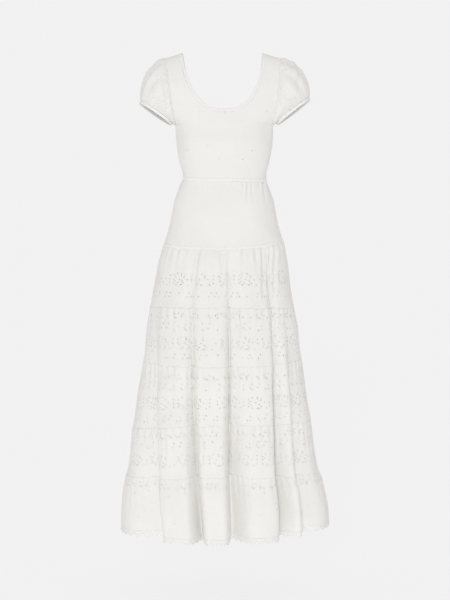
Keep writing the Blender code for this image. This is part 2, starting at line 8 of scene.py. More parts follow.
# %% Load the frame
import math
import bpy
import numpy as np
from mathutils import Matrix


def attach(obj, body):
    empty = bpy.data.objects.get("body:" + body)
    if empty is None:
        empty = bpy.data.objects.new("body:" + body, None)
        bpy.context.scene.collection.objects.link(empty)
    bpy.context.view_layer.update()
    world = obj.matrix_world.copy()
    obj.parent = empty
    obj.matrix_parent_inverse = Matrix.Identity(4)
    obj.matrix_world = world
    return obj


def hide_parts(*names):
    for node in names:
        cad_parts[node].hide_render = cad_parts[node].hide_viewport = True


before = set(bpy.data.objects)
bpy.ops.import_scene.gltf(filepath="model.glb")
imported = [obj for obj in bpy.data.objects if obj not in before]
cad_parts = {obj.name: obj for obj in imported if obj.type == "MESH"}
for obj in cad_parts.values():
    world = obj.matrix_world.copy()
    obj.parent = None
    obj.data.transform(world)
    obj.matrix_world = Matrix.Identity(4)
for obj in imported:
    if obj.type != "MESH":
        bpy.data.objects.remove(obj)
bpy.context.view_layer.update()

# %% [markdown]
# ## Camera
# The camera stands level with the neckline, a long way off, and looks down by six degrees, so the hem's lobes in
# front reach lower than the rest. One pixel is 2.85 mm at the dress. The sensor's width lies along the taller side.

# %% Camera
AIM = np.array([0.007, 0.0, -0.6984])
CAMERA_FAR = 5.5
LOOK_DOWN = math.radians(6.0)
PIXEL = 0.00285
IMAGE_TALL = 600
SENSOR = 36.0


def add_object(name, data):
    """A new object in the scene."""
    thing = bpy.data.objects.new(name, data)
    bpy.context.scene.collection.objects.link(thing)
    return thing


camera_data = bpy.data.cameras.new("camera")
camera_data.sensor_width = SENSOR
camera_data.lens = SENSOR * CAMERA_FAR / (IMAGE_TALL * PIXEL)
camera = add_object("camera", camera_data)
camera.location = AIM + CAMERA_FAR * np.array([0.0, -math.cos(LOOK_DOWN), math.sin(LOOK_DOWN)])
camera.rotation_euler = (math.pi / 2 - LOOK_DOWN, 0.0, 0.0)
bpy.context.scene.camera = camera
print("lens", round(camera_data.lens, 1), "mm")

# %% [markdown]
# ## Floor and light
# White cloth only shows its form where less light reaches it, so most of the light is an even white sky, which
# dims the insides of the folds. A broad sun from the front models the rest, and a weaker one lights the back.
# The floor and the wall round it glow until they look equally pale, so that no line shows behind the dress from
# any side. Only the camera sees the wall, so it takes no light away.

# %% Floor and light
FLOOR_DROP = 1.545
STUDIO_REACH = 14.0
STUDIO_TALL = 12.0
STUDIO_SIDES = 96
# Grey and glow of each part of the studio
STUDIO_FINISH = {"floor": (0.12, 0.793), "wall": (0.0, 0.884)}
SKY_STRENGTH = 0.61
SUN_SPREAD = 9.0
# Strength, degrees above level and degrees round the dress of each sun
SUNS = {"front_window": (0.88, 18.0, -5.0), "back_window": (0.60, 18.0, 172.0)}


def plain_material(name, grey, glow):
    """A plain matt finish that glows, for the studio alone."""
    material = bpy.data.materials.new(name)
    material.use_nodes = True
    shader = material.node_tree.nodes["Principled BSDF"]
    shader.inputs["Base Color"].default_value = (grey, grey, grey, 1.0)
    shader.inputs["Roughness"].default_value = 1.0
    shader.inputs["Specular IOR Level"].default_value = 0.0
    shader.inputs["Emission Color"].default_value = (1.0, 1.0, 1.0, 1.0)
    shader.inputs["Emission Strength"].default_value = glow
    return material


def stage_piece(name, points, faces):
    """A part of the studio, which isn't part of the dress."""
    mesh = bpy.data.meshes.new(name)
    mesh.from_pydata(points, [], faces)
    mesh.materials.append(plain_material(f"pale_{name}", *STUDIO_FINISH[name]))
    piece = add_object(name, mesh)
    return piece


def make_studio():
    """A wide round floor, and a pale wall round it that only the camera sees."""
    turn = np.linspace(0.0, 2 * math.pi, STUDIO_SIDES + 1)[:-1]
    ring = STUDIO_REACH * np.stack([np.cos(turn), np.sin(turn)], axis=1)
    low = [(x, y, -FLOOR_DROP) for x, y in ring]
    high = [(x, y, STUDIO_TALL) for x, y in ring]
    stage_piece("floor", low, [tuple(range(STUDIO_SIDES))])
    ahead = [(i + 1) % STUDIO_SIDES for i in range(STUDIO_SIDES)]
    wall = stage_piece("wall", low + high, [(i, m, m + STUDIO_SIDES, i + STUDIO_SIDES) for i, m in enumerate(ahead)])
    wall.visible_diffuse = wall.visible_glossy = wall.visible_transmission = wall.visible_shadow = False


def make_light():
    """An even white sky and the broad suns."""
    world = bpy.data.worlds.new("studio")
    world.use_nodes = True
    world.node_tree.nodes["Background"].inputs["Color"].default_value = (1.0, 1.0, 1.0, 1.0)
    world.node_tree.nodes["Background"].inputs["Strength"].default_value = SKY_STRENGTH
    bpy.context.scene.world = world
    for name, (strength, above_level, turn) in SUNS.items():
        sun_data = bpy.data.lights.new(name, "SUN")
        sun_data.energy = strength
        sun_data.angle = math.radians(SUN_SPREAD)
        sun = add_object(name, sun_data)
        sun.rotation_euler = (math.radians(90.0 - above_level), 0.0, math.radians(turn))


make_studio()
make_light()
bpy.context.scene.view_settings.view_transform = "Standard"
print("floor", FLOOR_DROP, "m below the shoulders")

# %% [markdown]
# ## The garment's own curves
# Seen from above, the dress is a soft oval at every height. A short table holds half its width and its depth in
# front and behind, and a curve that never overshoots joins the rows. Angles run round the garment: 0 is the
# centre front and 90 degrees the side seam on +X. Heights are drops below the shoulders.

# %% Tables and curves
SEAM_GAP = 0.0003
SECTION_POWER = 2.2
HEM_DROP = 1.3560
# Height of the tier seams' waver, and how many waves of it go round
SEAM_WAVER = 0.00045
SEAM_WAVES = (9, 14, 23, 37, 52)


def table(columns, rows):
    """A short table as a dictionary from a column's name to its values."""
    return {name: np.array(values) for name, values in zip(columns, zip(*rows))}


SECTIONS = table(
    ("drop", "half_width", "front", "back", "sway"),
    (
        (0.0000, 0.1372, 0.1080, 0.0980, 0.0000),
        (0.1000, 0.1372, 0.1080, 0.0980, 0.0040),
        (0.2000, 0.1372, 0.1080, 0.0980, 0.0050),
        (0.2525, 0.1350, 0.1180, 0.0990, 0.0058),
        (0.3035, 0.1272, 0.1050, 0.0890, 0.0050),
        (0.3460, 0.1170, 0.0880, 0.0800, 0.0062),
        (0.3560, 0.1172, 0.0850, 0.0790, 0.0062),
        (0.3800, 0.1266, 0.0900, 0.0860, 0.0050),
        (0.4140, 0.1395, 0.0980, 0.0980, 0.0046),
        (0.4820, 0.1530, 0.1100, 0.1170, 0.0040),
        (0.5400, 0.1700, 0.1210, 0.1260, 0.0045),
        (0.5830, 0.1808, 0.1340, 0.1400, 0.0020),
        (0.6510, 0.1925, 0.1520, 0.1590, -0.0010),
        (0.7150, 0.2036, 0.1660, 0.1730, -0.0012),
        (0.7880, 0.2155, 0.1770, 0.1850, -0.0008),
        (0.8680, 0.2236, 0.1870, 0.1950, 0.0000),
        (0.9600, 0.2398, 0.1960, 0.2060, -0.0010),
        (1.0450, 0.2525, 0.2040, 0.2140, -0.0010),
        (1.1400, 0.2650, 0.2120, 0.2230, 0.0004),
        (1.1870, 0.2725, 0.2160, 0.2270, 0.0010),
        (1.2150, 0.2830, 0.2220, 0.2330, 0.0030),
        (1.3000, 0.2965, 0.2310, 0.2410, 0.0060),
        (1.3650, 0.3005, 0.2360, 0.2450, 0.0075),
    ),
)
# Drop of each seam at the side seam on -X, the centre front, the side seam on +X and the centre back
SEAMS = {
    "waist": (0.3530, 0.3540, 0.3580, 0.3550),
    "hip": (0.5415, 0.5446, 0.5325, 0.5400),
    "tier_1": (0.7155, 0.7040, 0.7155, 0.7150),
    "tier_2": (0.8720, 0.8674, 0.8640, 0.8700),
    "tier_3": (1.0620, 1.0280, 1.0390, 1.0450),
    "tier_4": (1.1970, 1.1720, 1.1890, 1.1900),
    "hem": (1.3570, 1.3560, 1.3430, 1.3570),
}


def eased(xs, ys, x):
    """A smooth curve through a table's points that never overshoots them."""
    step = np.diff(xs)
    rise = np.diff(ys) / step
    slope = np.zeros(len(ys))
    both = rise[:-1] * rise[1:]
    slope[1:-1] = np.where(both > 0, 2 * both / np.where(both > 0, rise[:-1] + rise[1:], 1.0), 0.0)
    slope[0], slope[-1] = rise[0], rise[-1]
    i = np.clip(np.searchsorted(xs, x, side="right") - 1, 0, len(step) - 1)
    t = np.clip((x - xs[i]) / step[i], 0.0, 1.0)
    rest = 1 - t
    ends = ys[i] * (1 + 2 * t) * rest**2 + ys[i + 1] * (3 - 2 * t) * t**2
    return ends + step[i] * (slope[i] * t * rest**2 - slope[i + 1] * rest * t**2)


def smooth_step(x):
    """0 up to 0, 1 from 1 on, and smooth between."""
    x = np.clip(x, 0.0, 1.0)
    return x * x * (3 - 2 * x)


def bump(x):
    """A soft bump of height 1 at 0, which has nearly gone at 2."""
    return np.exp(-(x**2))


def unit(vectors):
    """The same directions, one long."""
    return vectors / np.linalg.norm(vectors, axis=-1, keepdims=True)


def lengths(line):
    """The length along a line up to each of its points."""
    return np.concatenate([[0.0], np.cumsum(np.linalg.norm(np.diff(line, axis=0), axis=1))])


def seam_drop(name, angle):
    """Drop of a seam at an angle. The gathers pull the seams of the tiers into a slight unevenness."""
    left, front, right, back = SEAMS[name]
    along, across = np.cos(angle), np.sin(angle)
    drop = np.where(along > 0, front, back) * along**2 + np.where(across > 0, right, left) * across**2
    if name.startswith("tier"):
        start = 1.7 * int(name[-1])
        drop = drop + sum(SEAM_WAVER * np.cos(k * angle + start * k) for k in SEAM_WAVES)
    return drop


def plain_section(angle, drop):
    """Points on the outline without folds, and the level direction out of it."""
    width = eased(SECTIONS["drop"], SECTIONS["half_width"], drop)
    front = eased(SECTIONS["drop"], SECTIONS["front"], drop)
    back = eased(SECTIONS["drop"], SECTIONS["back"], drop)
    depth = np.where(np.cos(angle) > 0, front, back)
    across, along = np.sin(angle), np.cos(angle)
    power = SECTION_POWER
    reach = (np.abs(across / width) ** power + np.abs(along / depth) ** power) ** (-1 / power)
    x, y = reach * across, -reach * along
    out = unit(np.stack([x / width**2, y / depth**2, np.zeros_like(x)], axis=-1))
    return np.stack([x, y, -drop], axis=-1), out


def swayed(points):
    """The points moved sideways with the whole garment's slight sway."""
    points = np.array(points)
    points[..., 0] += eased(SECTIONS["drop"], SECTIONS["sway"], -points[..., 2])
    return points


print("tables:", len(SECTIONS["drop"]), "sections and", len(SEAMS), "seams")

# %% [markdown]
# ## The long folds
# A gathered skirt falls into deep folds that run down through all its tiers. Each fold in this table is a soft
# trough that starts at some drop, hangs straight and grows deeper to the hem. The cloth is drawn in along it, and
# a little more along a narrow line in its middle, which is deepest half way down and gone at the hem.

# %% Folds of the skirt
FOLDS = table(
    ("hem_deg", "hip_deg", "start", "top_depth", "hem_depth", "left_deg", "right_deg", "line_depth"),
    (
        (-48.5, -71.0, 0.700, 0.003, 0.080, 14.0, 4.6, 0.003),
        (-18.0, -34.0, 0.540, 0.006, 0.066, 3.3, 3.2, 0.010),
        (5.6, 8.0, 0.540, 0.004, 0.088, 2.6, 9.2, 0.013),
        (43.0, 52.0, 0.540, 0.008, 0.080, 4.6, 5.0, 0.014),
        (58.5, 64.0, 0.700, 0.003, 0.056, 4.4, 10.0, 0.000),
        (99.0, 99.0, 0.640, 0.004, 0.056, 5.0, 4.2, 0.004),
        (121.0, 119.0, 0.560, 0.005, 0.066, 3.6, 5.4, 0.008),
        (142.0, 143.0, 0.540, 0.006, 0.076, 5.0, 3.6, 0.012),
        (163.0, 164.0, 0.580, 0.005, 0.068, 3.4, 5.0, 0.008),
        (-175.0, -173.0, 0.540, 0.006, 0.078, 5.2, 3.4, 0.012),
        (-154.0, -152.0, 0.560, 0.005, 0.068, 3.4, 5.2, 0.008),
        (-133.0, -130.0, 0.540, 0.006, 0.074, 4.8, 3.6, 0.012),
        (-112.0, -112.0, 0.620, 0.005, 0.060, 3.8, 5.4, 0.008),
    ),
)
FOLD_GROWTH = 1.5
FOLD_FADE_IN = 0.020
LINE_POWER = 0.8
LINE_DEG = 0.9
# Width of a cell of the cloth's grid
CELL = 0.0052
FINE_STEPS = 12001


def fold_angle(angle, drop):
    """The angle at which a line of cloth lies at this drop, from its angle at the hem."""
    order = np.argsort(FOLDS["hem_deg"])
    hem_deg = FOLDS["hem_deg"][order]
    shift = (FOLDS["hip_deg"] - FOLDS["hem_deg"])[order]
    turns = np.concatenate([hem_deg - 360, hem_deg, hem_deg + 360])
    drift = np.interp(np.degrees(angle), turns, np.concatenate([shift, shift, shift]))
    share = np.clip((HEM_DROP - drop) / (HEM_DROP - SEAMS["hip"][0]), 0.0, 1.0)
    return angle + np.radians(drift) * share


def fold_depth(angle, drop):
    """How far the long folds draw the cloth in, from a line's angle at the hem."""
    total = np.zeros(np.broadcast(angle, drop).shape)
    for i in range(len(FOLDS["start"])):
        fold = {name: column[i] for name, column in FOLDS.items()}
        away = (np.degrees(angle) - fold["hem_deg"] + 180) % 360 - 180
        wide = np.where(away < 0, fold["left_deg"], fold["right_deg"])
        share = np.clip((drop - fold["start"]) / (HEM_DROP - fold["start"]), 0.0, 1.0)
        depth = fold["top_depth"] + (fold["hem_depth"] - fold["top_depth"]) * share**FOLD_GROWTH
        line = fold["line_depth"] * np.sin(math.pi * share) ** LINE_POWER
        depth = depth * bump(away / wide) + line * bump(away / LINE_DEG)
        total = total + depth * smooth_step((drop - fold["start"]) / FOLD_FADE_IN)
    return total


def skirt(angle, drop, ripple=0.0):
    """Points on the skirt. The angle is a line of cloth's angle at the hem."""
    points, out = plain_section(fold_angle(angle, drop), drop)
    return points + out * (ripple - fold_depth(angle, drop))[..., None]


def even_lines(first, last, drop, count=None):
    """Angles of lines of cloth that lie evenly along the skirt at one drop, a cell apart unless there is a count
    of them, and the length between the ends."""
    fine = np.linspace(first, last, FINE_STEPS)
    length = lengths(skirt(fine, np.full(len(fine), drop)))
    count = count or round(length[-1] / CELL)
    return np.interp(np.linspace(0.0, length[-1], count + 1), length, fine), length[-1]


print("hem length", round(even_lines(-math.pi, math.pi, HEM_DROP)[1], 3), "m")

# %% [markdown]
# ## Two cottons
# The cloth is a plain-woven ivory lawn. Its threads are 0.45 mm apart, which a bump from two crossed waves
# gives, read from the cloth's own UV map in metres so that the weave follows every fold. Slubs make the threads
# uneven, and a faint cloudiness of colour and a little sheen keep it from looking like plaster. Where a stitch
# attribute says that thread covers the cloth, it turns whiter and smoother. The folded bands use the same
# cotton, a shade whiter: partly because it lies double, and partly as a painted highlight for the light that
# their raised rolls catch.

# %% Cotton materials
THREAD_PITCH = 0.00045


class Nodes:
    """Builds a tree's nodes in the order that they feed each other. An input is named, or numbered like _0."""

    def __init__(self, tree):
        self.tree = tree

    def add(self, kind, settings=(), **inputs):
        node = self.tree.nodes.new(kind)
        for name, value in dict(settings).items():
            setattr(node, name, value)
        for name, value in inputs.items():
            socket = node.inputs[int(name[1:])] if name[0] == "_" else node.inputs[name.replace("_", " ")]
            if isinstance(value, bpy.types.NodeSocket):
                self.tree.links.new(value, socket)
            else:
                socket.default_value = value
        return node


def cotton(name, low, high, thread_colour):
    """A woven cotton whose colour drifts between low and high."""
    material = bpy.data.materials.new(name)
    material.use_nodes = True
    build = Nodes(material.node_tree)
    shader = material.node_tree.nodes["Principled BSDF"]
    cloth_map = build.add("ShaderNodeUVMap", {"uv_map": "cloth"}).outputs["UV"]
    place = build.add("ShaderNodeTexCoord").outputs["Object"]
    thread = build.add("ShaderNodeAttribute", {"attribute_name": "thread"}).outputs["Fac"]
    slub = build.add("ShaderNodeTexNoise", Vector=cloth_map, Scale=240.0, Detail=3.0)
    waves = []
    for direction in ("X", "Y"):
        wave = build.add(
            "ShaderNodeTexWave",
            {"bands_direction": direction, "wave_profile": "SIN"},
            Vector=cloth_map,
            Scale=2 * math.pi / 20 / THREAD_PITCH,
            Distortion=1.6,
            Detail=1.0,
        )
        waves.append(wave.outputs["Fac"])
    woven = build.add("ShaderNodeMath", {"operation": "MULTIPLY"}, _0=waves[0], _1=waves[1]).outputs[0]
    uneven = build.add("ShaderNodeMath", {"operation": "MULTIPLY"}, _0=woven, _1=slub.outputs["Fac"]).outputs[0]
    limp = build.add("ShaderNodeTexNoise", Vector=place, Scale=55.0, Detail=4.0, Roughness=0.6)
    cloud = build.add("ShaderNodeTexNoise", Vector=place, Scale=9.0, Detail=3.0)
    shade = build.add("ShaderNodeMapRange", Value=cloud.outputs["Fac"], From_Min=0.35, From_Max=0.65).outputs[0]
    base = build.add("ShaderNodeMix", {"data_type": "RGBA"}, _0=shade, _6=(*low, 1.0), _7=(*high, 1.0)).outputs[2]
    stitched = build.add("ShaderNodeMix", {"data_type": "RGBA"}, _0=thread, _6=base, _7=(*thread_colour, 1.0))
    smooth = build.add("ShaderNodeMapRange", Value=thread, To_Min=0.86, To_Max=0.55).outputs[0]
    mottled = build.add(
        "ShaderNodeMath", {"operation": "MULTIPLY_ADD"}, _0=slub.outputs["Fac"], _1=0.08, _2=smooth
    ).outputs[0]
    soft = build.add("ShaderNodeBump", Height=limp.outputs["Fac"], Distance=0.0012, Strength=0.5)
    weave = build.add(
        "ShaderNodeBump", Height=uneven, Distance=0.00016, Strength=0.6, Normal=soft.outputs["Normal"]
    )
    for output, target in (
        (stitched.outputs[2], "Base Color"),
        (mottled, "Roughness"),
        (weave.outputs["Normal"], "Normal"),
    ):
        material.node_tree.links.new(output, shader.inputs[target])
    shader.inputs["Specular IOR Level"].default_value = 0.25
    shader.inputs["Sheen Weight"].default_value = 0.12
    shader.inputs["Sheen Roughness"].default_value = 0.6
    return material


# Low, high and thread colour of each slot's cotton
COLOURS = {
    "eyelet_cotton": ((0.875, 0.862, 0.832), (0.900, 0.889, 0.862), (0.915, 0.906, 0.885)),
    # The band cotton's whiter colours are partly a painted highlight on the raised bands, partly the doubled cloth
    "band_cotton": ((0.895, 0.884, 0.858), (0.915, 0.906, 0.882), (0.925, 0.917, 0.897)),
}
COTTONS = {slot: cotton(slot, *colours) for slot, colours in COLOURS.items()}
print("materials:", list(COTTONS))

# %% [markdown]
# ## Cloth as a grid with eyelets
# An eyelet is a small hole whose rim is bound with thread. Each cloth piece is a grid of cells about 5 mm wide.
# A chart, like one for counted embroidery, marks cells for an eyelet, and a random share of them gets one: a ring
# of eight raised points for the bound rim and eight for the hole. Solidify then gives the cloth its thickness,
# which also closes the hole's edge. Every corner of a face keeps its place on the flat cloth as its UV, in metres.

# %% Charts of the embroidery
# o marks an eyelet, and the strokes are satin-stitched leaves that lie in their own direction.
CHARTS = {
    "flowers": (
        "...o..o........",
        ".o..|.o.o....o.",
        "..o.\\./.o..\\...",
        ".o.-.o.-..o..o.",
        "..o./.\\o...|...",
        ".o..o|..o....o.",
        "...o..oo...o...",
    ),
    "garland": (
        "..o.o..o.......",
        ".o..|.o..|..o..",
        "..oo..o.o..|.o.",
    ),
    "sprigs": (
        "..o...o........",
        "..|../......o..",
        ".o...o.....|...",
        "..o|......o.o..",
    ),
    "dots": (
        "..o..o.....o...",
        "...|.....|.....",
        ".o..o.o...o....",
    ),
    "scatter": (
        "....o...............",
        "...\\./..............",
        "....|.........o.....",
        "..............|.....",
        "....................",
        ".........\\./.........",
        "..........o.........",
        "..........|.........",
    ),
    "leaves": (
        ".....|...........",
        "...\\.|./.........",
        "...-...-.........",
        ".../.|.\\.........",
        ".....|...........",
        ".....|.......|...",
        "....../....\\./...",
        "............|....",
    ),
}
LEAF_TURNS = {"|": 90.0, "-": 0.0, "/": -50.0, "\\": 50.0}
print("charts:", {name: len(chart) for name, chart in CHARTS.items()})

# %% Cloth shells
HOLE_RADIUS = 0.0012
RIM_RADIUS = 0.0020
RIM_RAISED = 0.0007
# The least size of an eyelet, the widest rim as a share of its cell, how far it strays, and in how wide a cell
LEAST_SIZE = 0.78
RIM_SHARE = 0.40
HOLE_STRAY = 0.0007
ROOMY_CELL = CELL * 0.8
EYELETS_KEPT = 0.84
CLOTH_THICK = 0.0005
OCTAGON = np.radians(22.5 + 45.0 * np.arange(8))


def lace(points, cloth, holes):
    """Vertices, UVs, thread and faces of a grid of cloth in which the marked cells have an eyelet."""
    rows, columns = holes.shape
    index = np.arange((rows + 1) * (columns + 1)).reshape(rows + 1, columns + 1)
    flat, uv = points.reshape(-1, 3), cloth.reshape(-1, 2)
    quads = np.stack([index[:-1, :-1], index[:-1, 1:], index[1:, 1:], index[1:, :-1]], axis=-1)
    faces = [tuple(quad) for quad in quads[~holes].tolist()]
    cells = quads[holes]
    corners = flat[cells]
    across = (corners[:, 1] + corners[:, 2] - corners[:, 0] - corners[:, 3]) / 2
    down = (corners[:, 2] + corners[:, 3] - corners[:, 0] - corners[:, 1]) / 2
    wide = np.linalg.norm(across, axis=1, keepdims=True)
    tall = np.linalg.norm(down, axis=1, keepdims=True)
    out = unit(np.cross(across, down))
    chance = np.random.default_rng(len(cells))
    size = chance.uniform(LEAST_SIZE, 1.0, (len(cells), 1))
    fit = size * np.minimum(1.0, RIM_SHARE * np.minimum(wide, tall) / RIM_RADIUS)
    stray = chance.uniform(-1.0, 1.0, (len(cells), 2)) * HOLE_STRAY
    middle, middle_uv = corners.mean(axis=1), uv[cells].mean(axis=1)
    spread = uv[cells][:, 2] - uv[cells][:, 0]
    verts, uvs = [flat], [uv]
    for radius, raised in ((RIM_RADIUS, RIM_RAISED), (HOLE_RADIUS, -RIM_RAISED / 2)):
        for turn in OCTAGON:
            along = math.cos(turn) * radius * fit + stray[:, :1] * (wide > ROOMY_CELL)
            below = math.sin(turn) * radius * fit + stray[:, 1:] * (tall > ROOMY_CELL)
            verts.append(middle + across / wide * along + down / tall * below + out * raised)
            uvs.append(middle_uv + spread * np.hstack([along / wide, below / tall]))
    count, base = len(cells), len(flat)
    ring = base + np.arange(16).reshape(16, 1) * count + np.arange(count)
    for n in range(count):
        a, b, c, d = cells[n].tolist()
        p, q = ring[:8, n].tolist(), ring[8:, n].tolist()
        faces += [(b, c, p[0], p[7]), (c, p[1], p[0]), (c, d, p[2], p[1]), (d, p[3], p[2])]
        faces += [(d, a, p[4], p[3]), (a, p[5], p[4]), (a, b, p[6], p[5]), (b, p[7], p[6])]
        faces += [(p[k], p[(k + 1) % 8], q[(k + 1) % 8], q[k]) for k in range(8)]
    thread = np.concatenate([np.zeros(base), np.ones(16 * count)])
    return np.vstack(verts), np.vstack(uvs), thread, faces


def fabric(name, node, verts, faces, corner_uvs, slot, thickness):
    """A thin piece of fabric in place of a solid. A UV is given for each corner of its faces."""
    mesh = bpy.data.meshes.new(name)
    mesh.from_pydata(verts.tolist(), [], faces)
    layer = mesh.uv_layers.new(name="cloth")
    layer.data.foreach_set("uv", np.asarray(corner_uvs, dtype=np.float32).reshape(-1))
    mesh.update()
    mesh.materials.append(COTTONS[slot])
    mesh.shade_smooth()
    piece = add_object(name, mesh)
    thick = piece.modifiers.new("thickness", "SOLIDIFY")
    thick.thickness = thickness
    thick.offset = -1.0
    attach(piece, "root")
    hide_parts(node)
    return piece


def cloth_shell(name, node, grids):
    """One thin shell of eyelet cloth from its grids of points and eyelets, which are joined where they meet."""
    verts, uvs, threads, faces = [], [], [], []
    for points, holes, aside in grids:
        v, u, t, f = lace(points, cloth_uv(points) + np.array([aside, 0.0]), holes)
        start = sum(len(x) for x in verts)
        verts.append(v)
        uvs.append(u)
        threads.append(t)
        faces += [tuple(start + i for i in face) for face in f]
    verts, uvs, threads = swayed(np.vstack(verts)), np.vstack(uvs), np.concatenate(threads)
    _, first, same = np.unique(np.round(verts, 6), axis=0, return_index=True, return_inverse=True)
    same = same.reshape(-1)
    faces = [face for face in faces if len({int(same[i]) for i in face}) == len(face)]
    corner_uvs = uvs[[i for face in faces for i in face]]
    faces = [tuple(int(same[i]) for i in face) for face in faces]
    piece = fabric(name, node, verts[first], faces, corner_uvs, "eyelet_cotton", CLOTH_THICK)
    thread = piece.data.attributes.new("thread", "FLOAT", "POINT")
    thread.data.foreach_set("value", threads[first].astype(np.float32))
    return piece


def cloth_uv(points):
    """Each grid point's place on the flat cloth, in metres, from the lengths of its middle row and column."""
    across = lengths(points[points.shape[0] // 2])
    down = lengths(points[:, points.shape[1] // 2])
    return np.stack(np.meshgrid(across, -down), axis=-1)


def measures(points):
    """The lengths of a grid's rows and of its columns, and its area."""
    across, down = np.diff(points, axis=1), np.diff(points, axis=0)
    area = np.linalg.norm(np.cross(down[:, :-1], across[:-1]), axis=-1).sum()
    return np.linalg.norm(across, axis=2).sum(axis=1), np.linalg.norm(down, axis=2).sum(axis=0), float(area)


LEAVES = []


def embroider(points, bands):
    """The eyelets of a grid, from charts that start at given rows. It also keeps where the leaves go."""
    rows, columns = points.shape[0] - 1, points.shape[1] - 1
    holes = np.zeros((rows, columns), dtype=bool)
    chance = np.random.default_rng(columns)
    for chart_name, first, shift in bands:
        for i, line in enumerate(CHARTS[chart_name]):
            row = first + i
            if not 0 < row < rows - 1:
                continue
            marks = np.array(list(line))[(np.arange(columns) + shift) % len(line)]
            marks[[0, -1]] = "."
            holes[row] = (marks == "o") & (chance.random(columns) < EYELETS_KEPT)
            for column in np.nonzero(np.isin(marks, list(LEAF_TURNS)))[0]:
                corner = points[row : row + 2, column : column + 2]
                across = (corner[:, 1] - corner[:, 0]).mean(axis=0)
                down = (corner[1] - corner[0]).mean(axis=0)
                turn = math.radians(LEAF_TURNS[marks[column]])
                along = unit(across) * math.cos(turn) + unit(down) * math.sin(turn)
                LEAVES.append((corner.mean(axis=(0, 1)), unit(np.cross(across, down)), along))
    return holes


print("cloth cells of", CELL, "m, holes of", 2 * HOLE_RADIUS, "m")

# %% [markdown]
# ## Gathers and creases
# Where more cloth is sewn to less, it puckers into small gathers: strongest at the seam, uneven in width and
# height, and each running out after its own length. Random numbers with a fixed seed give them. The larger
# creases are given in a table for the front, and the back has the same ones, turned round.

# %% Gathers and creases
def gathers(seed, along, below, narrow, wide, height, reach):
    """The outward ripple of small gathers at a length along a seam and a distance below it."""
    chance = np.random.default_rng(seed)
    steps = chance.uniform(narrow, wide, int(along.max() / narrow) + 4)
    knots = np.concatenate([[-steps[0]], np.cumsum(steps) - steps[0]])
    heights = chance.uniform(0.35, 1.0, len(knots))
    reaches = reach * chance.uniform(0.4, 1.6, len(knots))
    phase = np.interp(along, knots, np.arange(len(knots)))
    tall = np.interp(along, knots, heights) * height
    far = np.interp(along, knots, reaches)
    fade = np.exp(-((below / far) ** 1.4)) * smooth_step(below / 0.004 + 0.25)
    return tall * np.cos(2 * math.pi * phase) * fade


def limpness(points, seed, height):
    """The slow unevenness of soft cloth, from a few crossed waves."""
    chance = np.random.default_rng(seed)
    total = np.zeros(points.shape[:-1])
    for _ in range(9):
        direction = chance.normal(size=3) * np.array([1.0, 1.0, 0.55])
        direction *= 2 * math.pi / chance.uniform(0.045, 0.11) / np.linalg.norm(direction)
        total += np.cos(points @ direction + chance.uniform(0, 2 * math.pi))
    return total * height / 3


# Creases in the front: place at the top and how far it leans, the drops between which it runs, its depth at the
# top and at the bottom, and its half width
FRONT_CREASES = table(
    ("x", "lean", "top", "bottom", "top_depth", "low_depth", "width"),
    (
        (0.0645, 0.001, 0.360, 0.424, 0.0050, 0.0014, 0.0030),
        (0.0520, -0.002, 0.362, 0.400, 0.0026, 0.0004, 0.0030),
        (0.0770, 0.002, 0.361, 0.412, 0.0032, 0.0006, 0.0030),
        (0.0940, 0.004, 0.361, 0.398, 0.0030, 0.0004, 0.0030),
        (0.1080, 0.010, 0.359, 0.425, 0.0048, 0.0010, 0.0035),
        (-0.1297, -0.006, 0.549, 0.625, 0.0030, 0.0006, 0.0040),
        (-0.1020, -0.004, 0.549, 0.600, 0.0026, 0.0006, 0.0040),
        (-0.0740, -0.004, 0.549, 0.700, 0.0050, 0.0030, 0.0050),
        (-0.0560, -0.002, 0.549, 0.590, 0.0022, 0.0004, 0.0028),
        (-0.0400, 0.000, 0.549, 0.600, 0.0022, 0.0004, 0.0028),
        (-0.0260, 0.001, 0.549, 0.585, 0.0022, 0.0004, 0.0028),
        (-0.0080, 0.016, 0.549, 0.700, 0.0050, 0.0030, 0.0042),
        (0.0210, 0.002, 0.549, 0.612, 0.0026, 0.0004, 0.0036),
        (0.0405, 0.003, 0.549, 0.615, 0.0024, 0.0004, 0.0034),
        (0.0865, 0.004, 0.545, 0.606, 0.0026, 0.0004, 0.0034),
        (0.1100, 0.006, 0.543, 0.705, 0.0066, 0.0060, 0.0046),
        (0.1270, 0.004, 0.541, 0.640, 0.0050, 0.0010, 0.0034),
        (0.1440, 0.003, 0.540, 0.700, 0.0064, 0.0050, 0.0040),
        (0.0512, 0.001, 0.706, 0.812, 0.0030, 0.0022, 0.0026),
        (0.1420, 0.004, 0.700, 0.900, 0.0050, 0.0040, 0.0048),
        (0.1960, 0.006, 0.048, 0.131, 0.0034, 0.0012, 0.0036),
        (0.1790, 0.008, 0.024, 0.090, 0.0030, 0.0008, 0.0034),
        (0.1720, 0.002, 0.105, 0.172, 0.0016, 0.0024, 0.0034),
        (-0.1650, 0.008, 0.075, 0.176, 0.0020, 0.0040, 0.0042),
        (-0.1820, -0.010, 0.020, 0.080, 0.0024, 0.0006, 0.0038),
        (-0.1960, 0.006, 0.095, 0.150, 0.0006, 0.0022, 0.0034),
    ),
)


